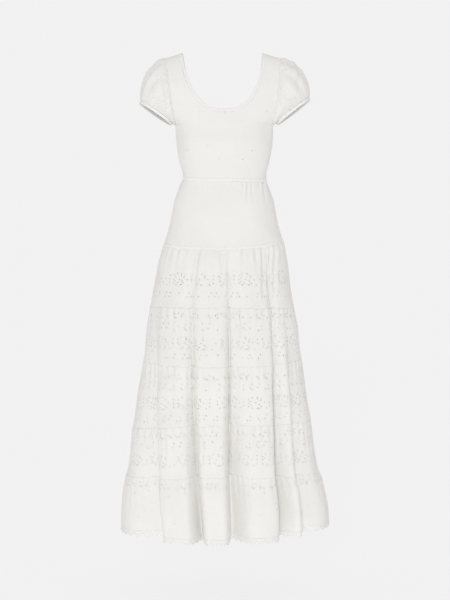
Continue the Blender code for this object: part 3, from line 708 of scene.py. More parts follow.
def creases(points):
    """How far the listed creases draw the cloth in. A low ridge runs along each side of each."""
    drop = -points[..., 2]
    x = np.where(points[..., 1] < 0, points[..., 0], -points[..., 0] * 0.93 + 0.004)
    total = np.zeros(drop.shape)
    for i in range(len(FRONT_CREASES["x"])):
        crease = {name: column[i] for name, column in FRONT_CREASES.items()}
        t = (drop - crease["top"]) / (crease["bottom"] - crease["top"])
        ends = smooth_step(t / 0.04 + 0.3) * smooth_step((1 - t) / 0.35)
        depth = crease["top_depth"] + (crease["low_depth"] - crease["top_depth"]) * np.clip(t, 0.0, 1.0)
        away = (x - crease["x"] - crease["lean"] * t) / crease["width"]
        shape = bump(away) - 0.35 * (bump(away - 1.9) + bump(away + 1.9))
        total += np.where((t > -0.02) & (t < 1.0), depth * ends * shape, 0.0)
    return total


print("creases placed by hand:", len(FRONT_CREASES["x"]))

# %% [markdown]
# ## Five tiers
# Each tier is a straight strip, longer than the seam above it. Its grid lines are evenly spaced lines of cloth.
# The upper edge is gathered and tucked up behind the tier above, whose lower edge carries a soft ridge and then
# dips in. Rows are 5 mm apart where a chart needs them and wider elsewhere.

# %% The tiers
EDGING = 0.014
TIER_NAMES = ("tier_1", "tier_2", "tier_3", "tier_4", "hem")
# Charts in each tier, by the distance below its seam at which each starts
TIER_BANDS = {
    1: (("leaves", 0.018, 3), ("flowers", 0.068, 0), ("dots", 0.122, 5)),
    2: (("garland", 0.012, 7), ("sprigs", 0.040, 0), ("flowers", 0.076, 4), ("dots", 0.122, 1)),
    3: (("garland", 0.020, 0), ("sprigs", 0.046, 8), ("flowers", 0.084, 9), ("sprigs", 0.134, 4)),
    4: (("garland", 0.014, 3), ("sprigs", 0.040, 5), ("flowers", 0.074, 2)),
    5: (("garland", 0.012, 5), ("scatter", 0.034, 11), ("scatter", 0.082, 4)),
}
PLAIN_ROW = 0.0085
# Distances of the narrow rows from a tier's upper and lower edge
UPPER_ROWS = (0.0, 0.0022, 0.0052)
LOWER_ROWS = (0.0060, 0.0025, 0.0)
CHARTS_END = 0.0105
TUCKED_UP = 0.0020
LET_DOWN = 0.0006
# Height, width and distance from the lower edge of the ridge over a seam
RIDGE = (0.0009, 0.0028, 0.0036)
# The seed's shift, then the least and most width, height and reach of each edge's gathers
UPPER_GATHERS = ((0, 0.016, 0.034, 0.0030, 0.055), (100, 0.007, 0.013, 0.0011, 0.022))
LOWER_GATHERS = (200, 0.010, 0.024, 0.0010, 0.014)
# Seed and height of the skirt's limpness, and how near a side seam all ripples die out
SKIRT_LIMPNESS = (7, 0.0011)
SIDE_FADE = 0.006


def row_places(height, bands):
    """Distances below the seam of a tier's rows, and the row at which each chart starts."""
    marks = sorted((start, name, shift) for name, start, shift in bands)
    places, starts = list(UPPER_ROWS), []
    for start, name, shift in marks + [(height - CHARTS_END, None, 0)]:
        gap = start - places[-1]
        if gap > 0.001:
            steps = max(1, round(gap / PLAIN_ROW))
            places += [places[-1] + gap * (k + 1) / steps for k in range(steps)]
        if name:
            starts.append((name, len(places) - 1, shift))
            places += [places[-1] + CELL * (k + 1) for k in range(len(CHARTS[name]))]
    return np.array(places + [height - row for row in LOWER_ROWS]), starts


def tier_grid(number, half):
    """A tier panel's points, from its seam down, and where its charts start."""
    above = "hip" if number == 1 else TIER_NAMES[number - 2]
    below = TIER_NAMES[number - 1]
    centre = 0.0 if half == "front" else math.pi
    angles, length = even_lines(centre - math.pi / 2, centre + math.pi / 2, SEAMS[below][0])
    top = seam_drop(above, angles) + SEAM_GAP / 2
    bottom = seam_drop(below, angles) - (EDGING if below == "hem" else 0.0) - SEAM_GAP / 2
    height = float((bottom - top).mean())
    places, starts = row_places(height, TIER_BANDS[number])
    drop = top + (bottom - top) * (places / height)[:, None]
    drop[0] -= TUCKED_UP
    drop[-1] += LET_DOWN
    angle = np.broadcast_to(angles, drop.shape)
    along = np.broadcast_to(np.linspace(0.0, length, len(angles)), drop.shape)
    down = np.broadcast_to(places[:, None], drop.shape)
    seed = 10 * number + (half == "back")
    ripple = sum(gathers(seed + shift, along, down, *sizes) for shift, *sizes in UPPER_GATHERS)
    tucked = np.zeros(drop.shape)
    if below != "hem":
        shift, *sizes = LOWER_GATHERS
        ripple = ripple + gathers(seed + shift, along, height - down, *sizes)
        tucked = RIDGE[0] * bump((height - down - RIDGE[2]) / RIDGE[1])
    tucked = tucked - 0.0004 * (1 - smooth_step(down / 0.0035))
    tucked = tucked - 0.0006 * (1 - smooth_step((height - down) / 0.0025))
    plain = skirt(angle, drop)
    sides = smooth_step(np.minimum(along, length - along) / SIDE_FADE)
    ripple = (ripple + limpness(plain, *SKIRT_LIMPNESS)) * sides + tucked
    ripple = ripple - creases(plain) * sides
    points = skirt(angle, drop, ripple)
    points[:, 0] += (points[:, 1] - points[:, 0]) * SEAM_GAP
    return points, starts


def make_tiers():
    """All the tier panels, front and back."""
    for number in TIER_BANDS:
        for half in ("front", "back"):
            points, starts = tier_grid(number, half)
            name = f"tier_{number}_{half}"
            holes = embroider(points, starts)
            piece = cloth_shell(f"{name}_cloth", name, [(points, holes, 0.0)])


make_tiers()

# %% [markdown]
# ## Basque
# The plain panel between waist and hip lies close to the body. Only the casing above it draws it into a few
# creases, most of them right of the centre, and its embroidery is sparse.

# %% Basque
WAIST_BAND = 0.0075
HIP_BAND = 0.0065
BASQUE_COLUMNS = 132
BASQUE_ROUND = 0.135
BASQUE_BANDS = (("leaves", 7, 3), ("leaves", 20, 9))
# How far each panel reaches under a band
UNDER_BAND = 0.001
WAIST_GATHERS = {"front": (31, 0.0008), "back": (32, 0.0020)}


def make_basque():
    """The front and back basque panels."""
    for half, centre in (("front", 0.0), ("back", math.pi)):
        angles = centre + np.linspace(-math.pi / 2, math.pi / 2, BASQUE_COLUMNS + 1)
        top = seam_drop("waist", angles) + WAIST_BAND / 2 - UNDER_BAND
        bottom = seam_drop("hip", angles) - HIP_BAND + UNDER_BAND
        share = np.concatenate([[0.0, 0.012, 0.03], np.linspace(0.055, 0.985, 31), [1.0]])[:, None]
        drop = top + (bottom - top) * share
        angle = np.broadcast_to(angles, drop.shape)
        points, out = plain_section(angle, drop)
        along = (angle - angles[0]) * BASQUE_ROUND
        seed, height = WAIST_GATHERS[half]
        ripple = gathers(seed, along, drop - top, 0.008, 0.020, height, 0.030)
        ripple = ripple + limpness(points, 5, 0.0007) - creases(points)
        ripple = ripple * smooth_step(np.minimum(along, along[0, -1] - along) / SIDE_FADE)
        points = points + out * ripple[..., None]
        name = f"yoke_{half}"
        holes = embroider(points, BASQUE_BANDS)
        piece = cloth_shell(f"basque_{half}_cloth", name, [(points, holes, 0.0)])


make_basque()

# %% [markdown]
# ## Bodice
# Above the underarm the bodice is drawn from its front view: a scoop neck, a short shoulder seam and an armhole
# that curves round to the underarm, over a chest that is nearly a parabola from the side. Each panel is made as
# two halves, joined down the centre below the scoop.

# %% The bodice's curves
NECK_HALF_WIDTH = 0.1114
FRONT_SCOOP = 0.155
BACK_SCOOP = 0.176
SCOOP_SIDE_POWER = 2.5
SCOOP_DROP_POWER = 1.7
SHOULDER_POINT = 0.161
SHOULDER_DROP = 0.0154
UNDERARM_DROP = 0.2000
ARMHOLE_ROUND = 3.0
ARM_SHARE = {"front": 0.80, "back": 0.74}
NECK_BAND = 0.0085


def shoulder_slope():
    """How steeply the shoulder falls from the neck."""
    return SHOULDER_DROP / (SHOULDER_POINT - NECK_HALF_WIDTH) / (1 - SHOULDER_DROP / UNDERARM_DROP)


def shoulder_line(x):
    """Drop of the shoulder seam at a distance from the centre."""
    run = shoulder_slope() * np.maximum(x - NECK_HALF_WIDTH, 0.0)
    return run / (1 + run / UNDERARM_DROP)


def armhole_x(drop):
    """Distance of the armhole seam from the centre."""
    share = np.clip((drop - SHOULDER_DROP) / (UNDERARM_DROP - SHOULDER_DROP), 0.0, 1.0)
    return SHOULDER_POINT + (SECTIONS["half_width"][0] - SHOULDER_POINT) * share**1.1


def chest_depth(below_shoulder, half):
    """Depth of the body's plain side view."""
    share = np.clip(below_shoulder / UNDERARM_DROP, 0.0, None)
    if half == "front":
        return SECTIONS["front"][0] * np.sqrt(share)
    return SECTIONS["back"][0] * np.sqrt(np.sin(np.minimum(share, 1.0) * math.pi / 2))


def upper_bodice(x, drop, half):
    """A point above the underarm, from its place in the front view."""
    share = np.clip((drop - SHOULDER_DROP) / (UNDERARM_DROP - SHOULDER_DROP), 0.0, 1.0)
    arm = ARM_SHARE[half] * (1 - share**ARMHOLE_ROUND) ** (1 / ARMHOLE_ROUND)
    power = SECTION_POWER
    width = armhole_x(drop) / (1 - arm**power) ** (1 / power)
    round_off = np.clip(1 - np.clip(x / width, 0.0, 1.0) ** power, 0.0, 1.0) ** (1 / power)
    fall = shoulder_slope() * np.maximum(x - NECK_HALF_WIDTH, 0.0) * np.clip(1 - drop / UNDERARM_DROP, 0.0, 1.0)
    depth = chest_depth(np.maximum(drop - fall, 0.0), half) * round_off
    return np.stack([x, -depth if half == "front" else depth, -drop], axis=-1)


def neckline(share, half, away):
    """A point along half of the neckline, from the bottom of the scoop (0) to the shoulder (1), moved out
    from the edge by a distance."""
    depth = FRONT_SCOOP if half == "front" else BACK_SCOOP
    angle = math.pi / 2 * (1 - share)
    side, low = np.cos(angle), np.sin(angle)
    x = NECK_HALF_WIDTH * side ** (2 / SCOOP_SIDE_POWER)
    drop = depth * low ** (2 / SCOOP_DROP_POWER)
    steep_x = (x / NECK_HALF_WIDTH) ** (SCOOP_SIDE_POWER - 1) / NECK_HALF_WIDTH
    steep_d = (drop / depth) ** (SCOOP_DROP_POWER - 1) / depth
    size = np.hypot(steep_x, steep_d)
    x, drop = x + away * steep_x / size, drop + away * steep_d / size
    return x, np.maximum(drop, shoulder_line(x))


def upper_bodice_out(x, drop, half, step=2e-4):
    """The direction out of the cloth above the underarm, square to the shoulder seam where it meets it."""
    drop = np.maximum(drop, shoulder_line(x) + step)
    beside = upper_bodice(x + step, drop, half) - upper_bodice(np.maximum(x - step, 0.0), drop, half)
    below = upper_bodice(x, drop + step, half) - upper_bodice(x, drop - step / 2, half)
    out = np.cross(below, beside) if half == "front" else np.cross(beside, below)
    out[..., 0] = np.where(x < step, 0.0, out[..., 0])
    out[..., 1] = np.where(drop <= shoulder_line(x) + 1.01 * step, 0.0, out[..., 1])
    return unit(out)


print("shoulder falls", round(float(shoulder_line(SHOULDER_POINT)), 4), "m to the armhole")

# %% [markdown]
# ## Bodice panels
# Rows run from the centre or the neckline out to the side seam or the armhole. The cloth stays on the solid's
# curves at every seam and is a little limp between them.

# %% Bodice panels
BODICE_COLUMNS = 32
# Rows below the underarm, from there to the scoop, and beside the neckline
BODICE_ROWS = {"front": (25, 5, 28), "back": (25, 3, 28)}
BODICE_BANDS = (("leaves", 8, 2), ("scatter", 20, 9), ("leaves", 31, 5), ("scatter", 42, 1))
CHEST_ROW = -20
# How near the side seam, the outer edge and the waist the ripples die out, in metres and in columns
EDGE_FADE = 0.012
EDGE_COLUMNS = 3.0
# The halves of a panel lie beside each other on the flat cloth
HALF_ASIDE = 0.4


def bodice_grid(half, side, columns, lower, centre, neck):
    """Half of a panel, from the waist up to the shoulder."""
    edge = NECK_BAND - 0.0006
    flip = np.array([side, 1.0, 1.0])
    across = np.linspace(0.0, 1.0, columns + 1)
    angles = side * across * math.pi / 2
    if half == "back":
        angles = side * math.pi - angles
    waist = seam_drop("waist", angles) - WAIST_BAND / 2 + UNDER_BAND
    rows = [plain_section(angles, waist + (UNDERARM_DROP - waist) * i / lower)[0] for i in range(lower + 1)]
    side_share = np.abs(rows[-1][:, 0]) / abs(rows[-1][-1, 0])
    scoop_drop = neckline(np.array(0.0), half, edge)[1]
    level_drop = scoop_drop + 0.3 * (UNDERARM_DROP - scoop_drop)
    total = centre + neck
    for i in range(1, total + 1):
        if i < centre:
            inner = (0.0, UNDERARM_DROP + (scoop_drop - UNDERARM_DROP) * i / centre)
            arm_drop = UNDERARM_DROP + (level_drop - UNDERARM_DROP) * i / centre
        else:
            inner = neckline(np.array(((i - centre) / neck) ** 0.9), half, edge)
            arm_drop = level_drop + (SHOULDER_DROP - level_drop) * (1 - (1 - (i - centre) / neck) ** 1.25)
        ease = smooth_step(1.4 * i / total)
        spread = side_share * (1 - ease) + across * ease
        x = inner[0] + (armhole_x(arm_drop) - inner[0]) * spread
        drop = inner[1] + (arm_drop - inner[1]) * spread
        if i == total:
            drop = shoulder_line(x)
        rows.append(upper_bodice(x, drop, half) * flip)
    return np.array(rows)


def make_bodice():
    """The front and back bodice panels."""
    for half in ("front", "back"):
        grids, count, area, width, tall = [], 0, 0.0, 0.0, 0.0
        for side in (-1.0, 1.0):
            points = bodice_grid(half, side, BODICE_COLUMNS, *BODICE_ROWS[half])[::-1]
            out = points * np.array([0.7, 1.0, 0.0])
            out /= np.linalg.norm(out, axis=-1, keepdims=True) + 1e-9
            fade = smooth_step(np.abs(points[..., 1]) / EDGE_FADE)
            fade = fade * smooth_step(np.arange(BODICE_COLUMNS, -1, -1) / EDGE_COLUMNS)
            fade = fade * smooth_step((points[-1:, :, 2] - points[..., 2]) / -EDGE_FADE)
            ripple = limpness(points, 3, 0.0007) - creases(points)
            points = points + out * (ripple * fade)[..., None]
            if (side > 0) != (half == "front"):
                points = points[:, ::-1]
            holes = embroider(points, BODICE_BANDS)
            grids.append((points, holes, HALF_ASIDE * side))
            count += int(holes.sum())
            rows, columns, half_area = measures(points)
            area += half_area
            width += float(rows[CHEST_ROW])
            tall = float(columns.max())
        piece = cloth_shell(f"bodice_{half}_cloth", f"bodice_{half}", grids)
        print("bodice", half, "eyelets", count, "cut", round(width, 3), "x", round(tall, 3), "area", round(area, 4))


make_bodice()

# %% [markdown]
# ## Puff sleeves
# Each sleeve starts on the armhole, which is the outer edge of the bodice's grid, puffs out and is gathered into
# a narrow cuff that slants down towards the underarm.

# %% Sleeves
SLEEVES = table(
    ("side", "outer_x", "outer_drop", "inner_x", "inner_drop", "front_lift", "puff"),
    (
        (-1.0, 0.2345, 0.1345, 0.1455, 0.1965, 0.006, 0.0280),
        (1.0, 0.2390, 0.1240, 0.1460, 0.1955, 0.005, 0.0305),
    ),
)
CUFF_BAND = 0.0085
CUFF_HALF_DEPTH = 0.050
UNDERARM_PUFF_SHARE = 0.04
AROUND_SLEEVE = 96
SLEEVE_ROUND = 0.52
SLEEVE_BANDS = (("scatter", 4, 5), ("scatter", 14, 12))
# Number and height of the broad waves of a puff
BROAD_WAVES = 12
BROAD_HEIGHT = 0.0028
# Where the sleeve starts: inside the armhole seam by this much, and towards the neck by this much
SET_IN = 0.0008
SET_TOWARD = 0.0016


def armhole_loop(side, count):
    """The armhole's points, evenly spaced, from the shoulder down the front, under the arm and up the back."""
    front = bodice_grid("front", side, 6, 4, 12, 90)[4:, -1]
    back = bodice_grid("back", side, 6, 4, 12, 90)[4:, -1]
    loop = np.vstack([front[::-1], back[1:]])
    length = lengths(loop)
    places = np.linspace(0.0, length[-1], count + 1)
    return np.stack([np.interp(places, length, loop[:, k]) for k in range(3)], axis=-1)


def cuff_frame(sleeve):
    """A cuff's middle, its two half axes and the direction of the arm."""
    side = sleeve["side"]
    outer_end = np.array([side * sleeve["outer_x"], 0.0, -sleeve["outer_drop"]])
    inner_end = np.array([side * sleeve["inner_x"], 0.0, -sleeve["inner_drop"]])
    middle = (outer_end + inner_end) / 2
    across = outer_end - middle
    lift = np.array([-across[2] * side, 0.0, across[0] * side])
    forward = np.array([0.0, -CUFF_HALF_DEPTH, 0.0]) + unit(lift) * sleeve["front_lift"]
    return middle, across, forward, unit(np.cross(across, forward) * side)


def make_sleeves():
    """Two puff sleeves."""
    for i, name in enumerate(("left", "right")):
        sleeve = {column: values[i] for column, values in SLEEVES.items()}
        side = sleeve["side"]
        loop = armhole_loop(side, AROUND_SLEEVE)
        turn = 2 * math.pi * np.linspace(0.0, 1.0, AROUND_SLEEVE + 1)
        middle, across, forward, arm = cuff_frame(sleeve)
        cuff = middle + np.cos(turn)[:, None] * across + np.sin(turn)[:, None] * forward
        crown = (1 + np.cos(turn)) / 2
        puff = sleeve["puff"] * (UNDERARM_PUFF_SHARE + (1 - UNDERARM_PUFF_SHARE) * crown**0.6)
        shares = np.concatenate([[0.0, 0.02, 0.05], np.linspace(0.09, 0.93, 22), [0.965, 1.0]])
        rows = []
        along = turn / (2 * math.pi) * SLEEVE_ROUND
        span = np.linalg.norm(cuff - loop, axis=1)
        near = crown**0.6 + 0.06
        for share in shares:
            ring = loop * (1 - share) + (cuff + arm * UNDER_BAND) * share
            away = unit(ring - ring[:-1].mean(axis=0))
            if share == 0.0:
                rows.append(ring - away * SET_IN - np.array([SET_TOWARD * side, 0.0, 0.0]))
            swell = 4 * share * (1 - share)
            fade = smooth_step(swell * 6)
            fine = gathers(50 + i, along, span * share, 0.010, 0.022, 0.0024, 0.030)
            fine = fine + gathers(60 + i, along, span * (1 - share), 0.010, 0.020, 0.0026, 0.030)
            broad = np.cos(BROAD_WAVES * turn) * BROAD_HEIGHT * swell * crown**0.5
            ripple = puff * swell + (broad + fine * near + limpness(ring, 9, 0.0010)) * fade
            ripple = ripple - creases(ring) * (near + 0.3) * fade
            rows.append(ring + away * ripple[:, None])
        points = np.array(rows)
        points[:, -1] = points[:, 0]
        if side < 0:
            points = points[:, ::-1]
        holes = embroider(points, SLEEVE_BANDS)
        piece = cloth_shell(f"sleeve_{name}_cloth", f"sleeve_{name}", [(points, holes, 0.0)])
        rows, columns, area = measures(points)


make_sleeves()

# %% [markdown]
# ## Folded bands
# The neck, the cuffs, the waist casing and the ridge at the hip are strips folded double. Each is a soft roll
# with a rounded face, that stands a little proud and hides the raw edges of the cloth on either side of it.

# %% Bands
# The face's section: share of the way down and height as a share of how proud it stands
ROLL = (
    (0.0, -0.1), (0.04, 0.15), (0.16, 0.55), (0.32, 0.9), (0.5, 1.0),
    (0.68, 0.9), (0.84, 0.55), (0.96, 0.15), (1.0, -0.1),
)
ROLL_BACK = (0.9, 0.5, 0.04)
ROLL_INSIDE = 0.0012
NECK_AND_CUFFS_PROUD = 0.0012
BAND_THICK = CLOTH_THICK * 0.7
BAND_LINES = {}


def rolled_band(name, node, top, low, out, proud, pucker=0.0):
    """A soft roll between two lines round the garment: a strip folded over its lower line, open at the upper."""
    along = lengths(np.vstack([top, top[:1]]))
    proud = np.broadcast_to(proud, len(top))
    section = [(t, high * proud) for t, high in ROLL] + [(t, np.full(len(top), -ROLL_INSIDE)) for t in ROLL_BACK]
    rings, uv_down, down = [], [], 0.0
    for t, lift in section:
        ring = top + (low - top) * t + out * (lift + pucker * math.sin(math.pi * t))[:, None]
        down += float(np.linalg.norm(ring - rings[-1], axis=1).mean()) if rings else 0.0
        rings.append(ring)
        uv_down.append(down)
    rings = swayed(np.array(rings))
    count, around = rings.shape[:2]
    faces, uvs = [], []
    for i in range(count - 1):
        for j in range(around):
            m = (j + 1) % around
            faces.append((i * around + j, i * around + m, (i + 1) * around + m, (i + 1) * around + j))
            uvs += [(along[j], -uv_down[i]), (along[j + 1], -uv_down[i])]
            uvs += [(along[j + 1], -uv_down[i + 1]), (along[j], -uv_down[i + 1])]
    piece = fabric(name, node, rings.reshape(-1, 3), faces, uvs, "band_cotton", BAND_THICK)
    if sum(face.center.dot(face.normal) * face.area for face in piece.data.polygons) < 0:
        piece.data.flip_normals()
    BAND_LINES[name] = (top, low, out, proud, pucker)


def uneven(count, seed, least, most):
    """Smooth random numbers round a closed band."""
    chance = np.random.default_rng(seed)
    turn = 2 * math.pi * np.arange(count) / count
    wave = sum(
        chance.uniform(0.3, 1.0) * np.cos(k * turn + chance.uniform(0, 6.28)) for k in chance.integers(30, 95, 9)
    )
    return least + (most - least) * (0.5 + wave / 8).clip(0.0, 1.0)


def make_waist_and_hip_bands():
    """The casing at the waist, with its small knot on the right, and the ridge at the hip."""
    turn = np.linspace(-math.pi, math.pi, 361)[:-1]
    waist = seam_drop("waist", turn)
    top, out = plain_section(turn, waist - WAIST_BAND / 2 - 0.0022)
    low = plain_section(turn, waist + WAIST_BAND / 2 + 0.0008)[0]
    proud = 0.0007 + 0.0035 * bump((np.degrees(turn) - 78) / 5.0)
    rolled_band("waist_casing", "waist_band", top, low, out, proud, uneven(360, 4, -0.0003, 0.0005))
    angles = even_lines(-math.pi, math.pi, 0.54, 420)[0][:-1]
    hip = seam_drop("hip", angles)
    droop = uneven(420, 6, -0.0010, 0.0010)
    top = skirt(angles, hip - HIP_BAND - 0.0014)
    low = skirt(angles, hip + 0.0018 + droop)
    out = plain_section(fold_angle(angles, hip), hip)[1]
    rolled_band("hip_ridge", "hip_band", top, low, out, 0.0016, uneven(420, 5, -0.0009, 0.0010))


def make_neck_band():
    """The narrow band round the whole neck."""
    shares = np.linspace(0.0, 1.0, 61) ** 0.9
    flip = np.array([-1.0, 1.0, 1.0])

    def all_round(place, away):
        """What a function of the bodice gives along the whole neckline, from that of its right half."""
        front, back = (place(*neckline(shares, half, away), half) for half in ("front", "back"))
        right = np.vstack([front, back[-2::-1]])
        return np.vstack([right, right[-2:0:-1] * flip])

    top, low = all_round(upper_bodice, 0.0), all_round(upper_bodice, NECK_BAND)
    out = unit(all_round(upper_bodice_out, 0.0) + all_round(upper_bodice_out, NECK_BAND))
    rolled_band("neck_binding", "neck_band", top, low, out, NECK_AND_CUFFS_PROUD)


def make_cuffs():
    """The two narrow cuff bands."""
    for i, name in enumerate(("left", "right")):
        sleeve = {column: values[i] for column, values in SLEEVES.items()}
        middle, across, forward, arm = cuff_frame(sleeve)
        turn = 2 * math.pi * np.arange(120) / 120
        spoke = np.cos(turn)[:, None] * across + np.sin(turn)[:, None] * forward
        top, low = middle + spoke, middle + spoke + arm * CUFF_BAND
        pucker = uneven(120, 8 + i, -0.0004, 0.0005)
        rolled_band(f"cuff_{name}_binding", f"cuff_{name}", top, low, unit(spoke), NECK_AND_CUFFS_PROUD, pucker)


make_waist_and_hip_bands()
make_neck_band()
make_cuffs()

# %% [markdown]
# ## Scalloped edging
# A row of shallow curves, each 24 mm wide, finishes the hem. A few small eyelets follow each curve.

# %% Edging
SCALLOPS = 113
SCALLOP_DEPTH = 0.0050
SCALLOP_COLUMNS = 8
EDGING_SHARES = (0.0, 0.15, 0.36, 0.57, 0.78, 0.93, 1.0)
# The columns of a scallop that have an eyelet in each row of cells that has any
EDGING_EYELETS = {2: (0, 7), 3: (2, 5)}
# How far the first row is tucked up and in behind the last tier
EDGING_UP = 0.0022
EDGING_IN = 0.0003


def make_edging():
    """The scalloped edging of the hem. It gives back the line of its lower edge."""
    count = SCALLOPS * SCALLOP_COLUMNS
    angles = even_lines(-math.pi, math.pi, HEM_DROP, count)[0]
    wave = np.abs(np.sin(math.pi * np.arange(count + 1) / SCALLOP_COLUMNS))
    top = seam_drop("hem", angles) - EDGING
    bottom = seam_drop("hem", angles) + SCALLOP_DEPTH * (wave - 0.5)
    from_seam = np.abs((np.degrees(angles) + 180.0) % 180.0 - 90.0)
    sides = smooth_step(from_seam / 1.2)
    rows = []
    for share in EDGING_SHARES:
        first = share == 0.0
        drop = top + (bottom - top) * share - EDGING_UP * first
        plain = skirt(angles, drop)
        ripple = (limpness(plain, *SKIRT_LIMPNESS) - creases(plain)) * sides - EDGING_IN * first
        rows.append(skirt(angles, drop, ripple))
    points = np.array(rows)
    holes = np.zeros((len(rows) - 1, count), dtype=bool)
    for row, columns in EDGING_EYELETS.items():
        holes[row] = np.isin(np.arange(count) % SCALLOP_COLUMNS, columns)
    piece = cloth_shell("hem_edging_cloth", "hem_edging", [(points, holes, 0.0)])
    return points[-1]


hem_line = make_edging()

# %% [markdown]
# ## Satin leaves
# Between the eyelets lie small leaves of close satin stitches, padded so that they stand up from the cloth. The
# charts gave each leaf's place and direction. A node tree puts a pad of thread on each of those points, square to
# the cloth, turned along its leaf and a little uneven in size. A second tree walks along a line instead, at an
# even pitch, and is used for the stitching below. Both give one plain mesh in place of thousands of objects.

# %% Pads of thread
PAD_SIZES = ("Length", "Width", "Height", "Least", "Pitch")
LEAF = (0.0062, 0.0024, 0.0018, 0.75, 0.0)
PAD_FACES = 20
# Thread has no flat cloth of its own, so its UVs only have to change evenly from place to place
LAID_FLAT = np.array([[1.0, 0.0], [0.7, 0.2], [0.0, 1.0]])


def pad_tree(name, follows_line):
    """A node tree that puts a pad of thread on each point, or at an even pitch along each line."""
    tree = bpy.data.node_groups.new(name, "GeometryNodeTree")
    face = tree.interface
    face.new_socket("Geometry", in_out="INPUT", socket_type="NodeSocketGeometry")
    for label in PAD_SIZES:
        face.new_socket(label, in_out="INPUT", socket_type="NodeSocketFloat")
    face.new_socket("Seed", in_out="INPUT", socket_type="NodeSocketInt")
    face.new_socket("Material", in_out="INPUT", socket_type="NodeSocketMaterial")
    face.new_socket("Geometry", in_out="OUTPUT", socket_type="NodeSocketGeometry")
    build = Nodes(tree)
    given = build.add("NodeGroupInput").outputs
    places = given["Geometry"]
    if follows_line:
        line = build.add("GeometryNodeMeshToCurve", Mesh=places).outputs["Curve"]
        steps = build.add("GeometryNodeResampleCurve", {"mode": "LENGTH"}, Curve=line, Length=given["Pitch"])
        places = steps.outputs["Curve"]
    axes = [
        build.add("GeometryNodeInputNamedAttribute", {"data_type": "FLOAT_VECTOR"}, Name=label).outputs["Attribute"]
        for label in ("facing", "along")
    ]
    turned = build.add(
        "FunctionNodeAxesToRotation", {"primary_axis": "Z", "secondary_axis": "X"},
        Primary_Axis=axes[0], Secondary_Axis=axes[1],
    )
    share = build.add(
        "FunctionNodeRandomValue", {"data_type": "FLOAT"}, _2=given["Least"], _3=1.0, Seed=given["Seed"]
    )
    size = build.add("ShaderNodeCombineXYZ", X=given["Length"], Y=given["Width"], Z=given["Height"])
    size = build.add("ShaderNodeVectorMath", {"operation": "SCALE"}, _0=size.outputs[0], Scale=share.outputs[1])
    pad = build.add("GeometryNodeMeshIcoSphere", Radius=0.5, Subdivisions=1).outputs["Mesh"]
    pads = build.add(
        "GeometryNodeInstanceOnPoints", Points=places, Instance=pad,
        Rotation=turned.outputs["Rotation"], Scale=size.outputs["Vector"],
    )
    real = build.add("GeometryNodeRealizeInstances", Geometry=pads.outputs["Instances"])
    soft = build.add("GeometryNodeSetShadeSmooth", Geometry=real.outputs["Geometry"])
    done = build.add("GeometryNodeSetMaterial", Geometry=soft.outputs["Geometry"], Material=given["Material"])
    build.add("NodeGroupOutput", Geometry=done.outputs["Geometry"])
    return tree


point_pads = pad_tree("pads_on_points", False)
line_pads = pad_tree("pads_along_lines", True)
print("trees:", point_pads.name, line_pads.name)

# %% Threads as plain meshes


def sewn(name, points, facing, along, edges, slot, seed, sizes):
    """Pads of thread on points or along lines, as one plain mesh."""
    mesh = bpy.data.meshes.new(name)
    mesh.from_pydata(swayed(points).tolist(), edges, [])
    for label, values in (("facing", facing), ("along", along)):
        layer = mesh.attributes.new(label, "FLOAT_VECTOR", "POINT")
        layer.data.foreach_set("vector", np.asarray(values, dtype=np.float32).reshape(-1))
    piece = add_object(name, mesh)
    modifier = piece.modifiers.new("pads", "NODES")
    modifier.node_group = line_pads if edges else point_pads
    values = dict(zip(PAD_SIZES, sizes), Seed=seed, Material=COTTONS[slot])
    for item in modifier.node_group.interface.items_tree:
        if item.in_out == "INPUT" and item.name in values:
            modifier[item.identifier] = values[item.name]
    graph = bpy.context.evaluated_depsgraph_get()
    made = bpy.data.meshes.new_from_object(piece.evaluated_get(graph))
    piece.modifiers.clear()
    piece.data = made
    place = np.zeros(3 * len(made.vertices), dtype=np.float32)
    made.vertices.foreach_get("co", place)
    loops = np.zeros(len(made.loops), dtype=np.int32)
    made.loops.foreach_get("vertex_index", loops)
    flat = (place.reshape(-1, 3) @ LAID_FLAT)[loops]
    made.uv_layers.new(name="cloth").data.foreach_set("uv", flat.astype(np.float32).reshape(-1))
    thread = made.attributes.new("thread", "FLOAT", "POINT")
    thread.data.foreach_set("value", np.ones(len(made.vertices), dtype=np.float32))
    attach(piece, "root")
    print(name, "pads", len(made.polygons) // PAD_FACES)


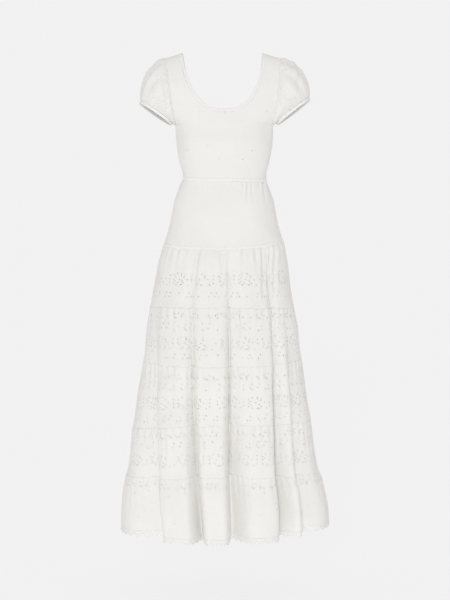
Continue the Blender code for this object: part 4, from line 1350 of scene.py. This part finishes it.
def make_leaves():
    """All the satin leaves that the charts gave."""
    places, facing, along = (np.array(values) for values in zip(*LEAVES))
    sewn("satin_leaves", places, facing, along, [], "eyelet_cotton", 3, LEAF)


make_leaves()

# %% [markdown]
# ## Stitching
# Two rows of lockstitch hold down the neck band, the cuffs and the waist casing, and one gathers the ridge at the
# hip. Buttonhole stitches bind the scalloped edge: they lie close together, across it. On the real dress a machine
# makes each row in one pass, so here the same tree walks each line.

# %% Stitches
# Length, width and height of a stitch, the least share of its size, and its pitch
LOCKSTITCH = (0.0021, 0.0006, 0.0005, 0.9, 0.0027)
BUTTONHOLE = (0.0024, 0.0011, 0.0013, 0.85, 0.0012)
# Shares of the way down each band at which its rows run
STITCH_ROWS = {
    "neck_binding": (0.22, 0.80),
    "cuff_left_binding": (0.26, 0.74),
    "cuff_right_binding": (0.26, 0.74),
    "waist_casing": (0.20, 0.80),
    "hip_ridge": (0.84,),
}


def on_band(name, share):
    """A line on a band's face, at a share of the way down it."""
    top, low, out, proud, pucker = BAND_LINES[name]
    high = float(np.interp(share, *zip(*ROLL)))
    lift = high * proud + pucker * math.sin(math.pi * share) + 0.0001
    return top + (low - top) * share + out * np.reshape(lift, (-1, 1)), out


def heading(line):
    """The direction in which a closed line runs at each of its points."""
    return unit(np.roll(line, -1, axis=0) - np.roll(line, 1, axis=0))


def stitch_row(name, line, facing, across, slot, sizes):
    """Stitches along a closed line, or close together across it."""
    along = np.cross(facing, heading(line)) if across else heading(line)
    count = len(line)
    edges = [(i, (i + 1) % count) for i in range(count)]
    sewn(name, line, facing, along, edges, slot, 5, sizes)


def make_stitching():
    """The stitching of the bands and of the scalloped edge."""
    for name, shares in STITCH_ROWS.items():
        for i, share in enumerate(shares):
            line, facing = on_band(name, share)
            stitch_row(f"{name}_stitches_{i + 1}", line, facing, False, "band_cotton", LOCKSTITCH)
    line = hem_line[:-1]
    facing = unit(np.cross(heading(line), [0.0, 0.0, 1.0]))
    line = line + np.array([0.0, 0.0, 0.0006]) - facing * CLOTH_THICK / 2
    stitch_row("scallop_stitches", line, facing, True, "eyelet_cotton", BUTTONHOLE)


make_stitching()
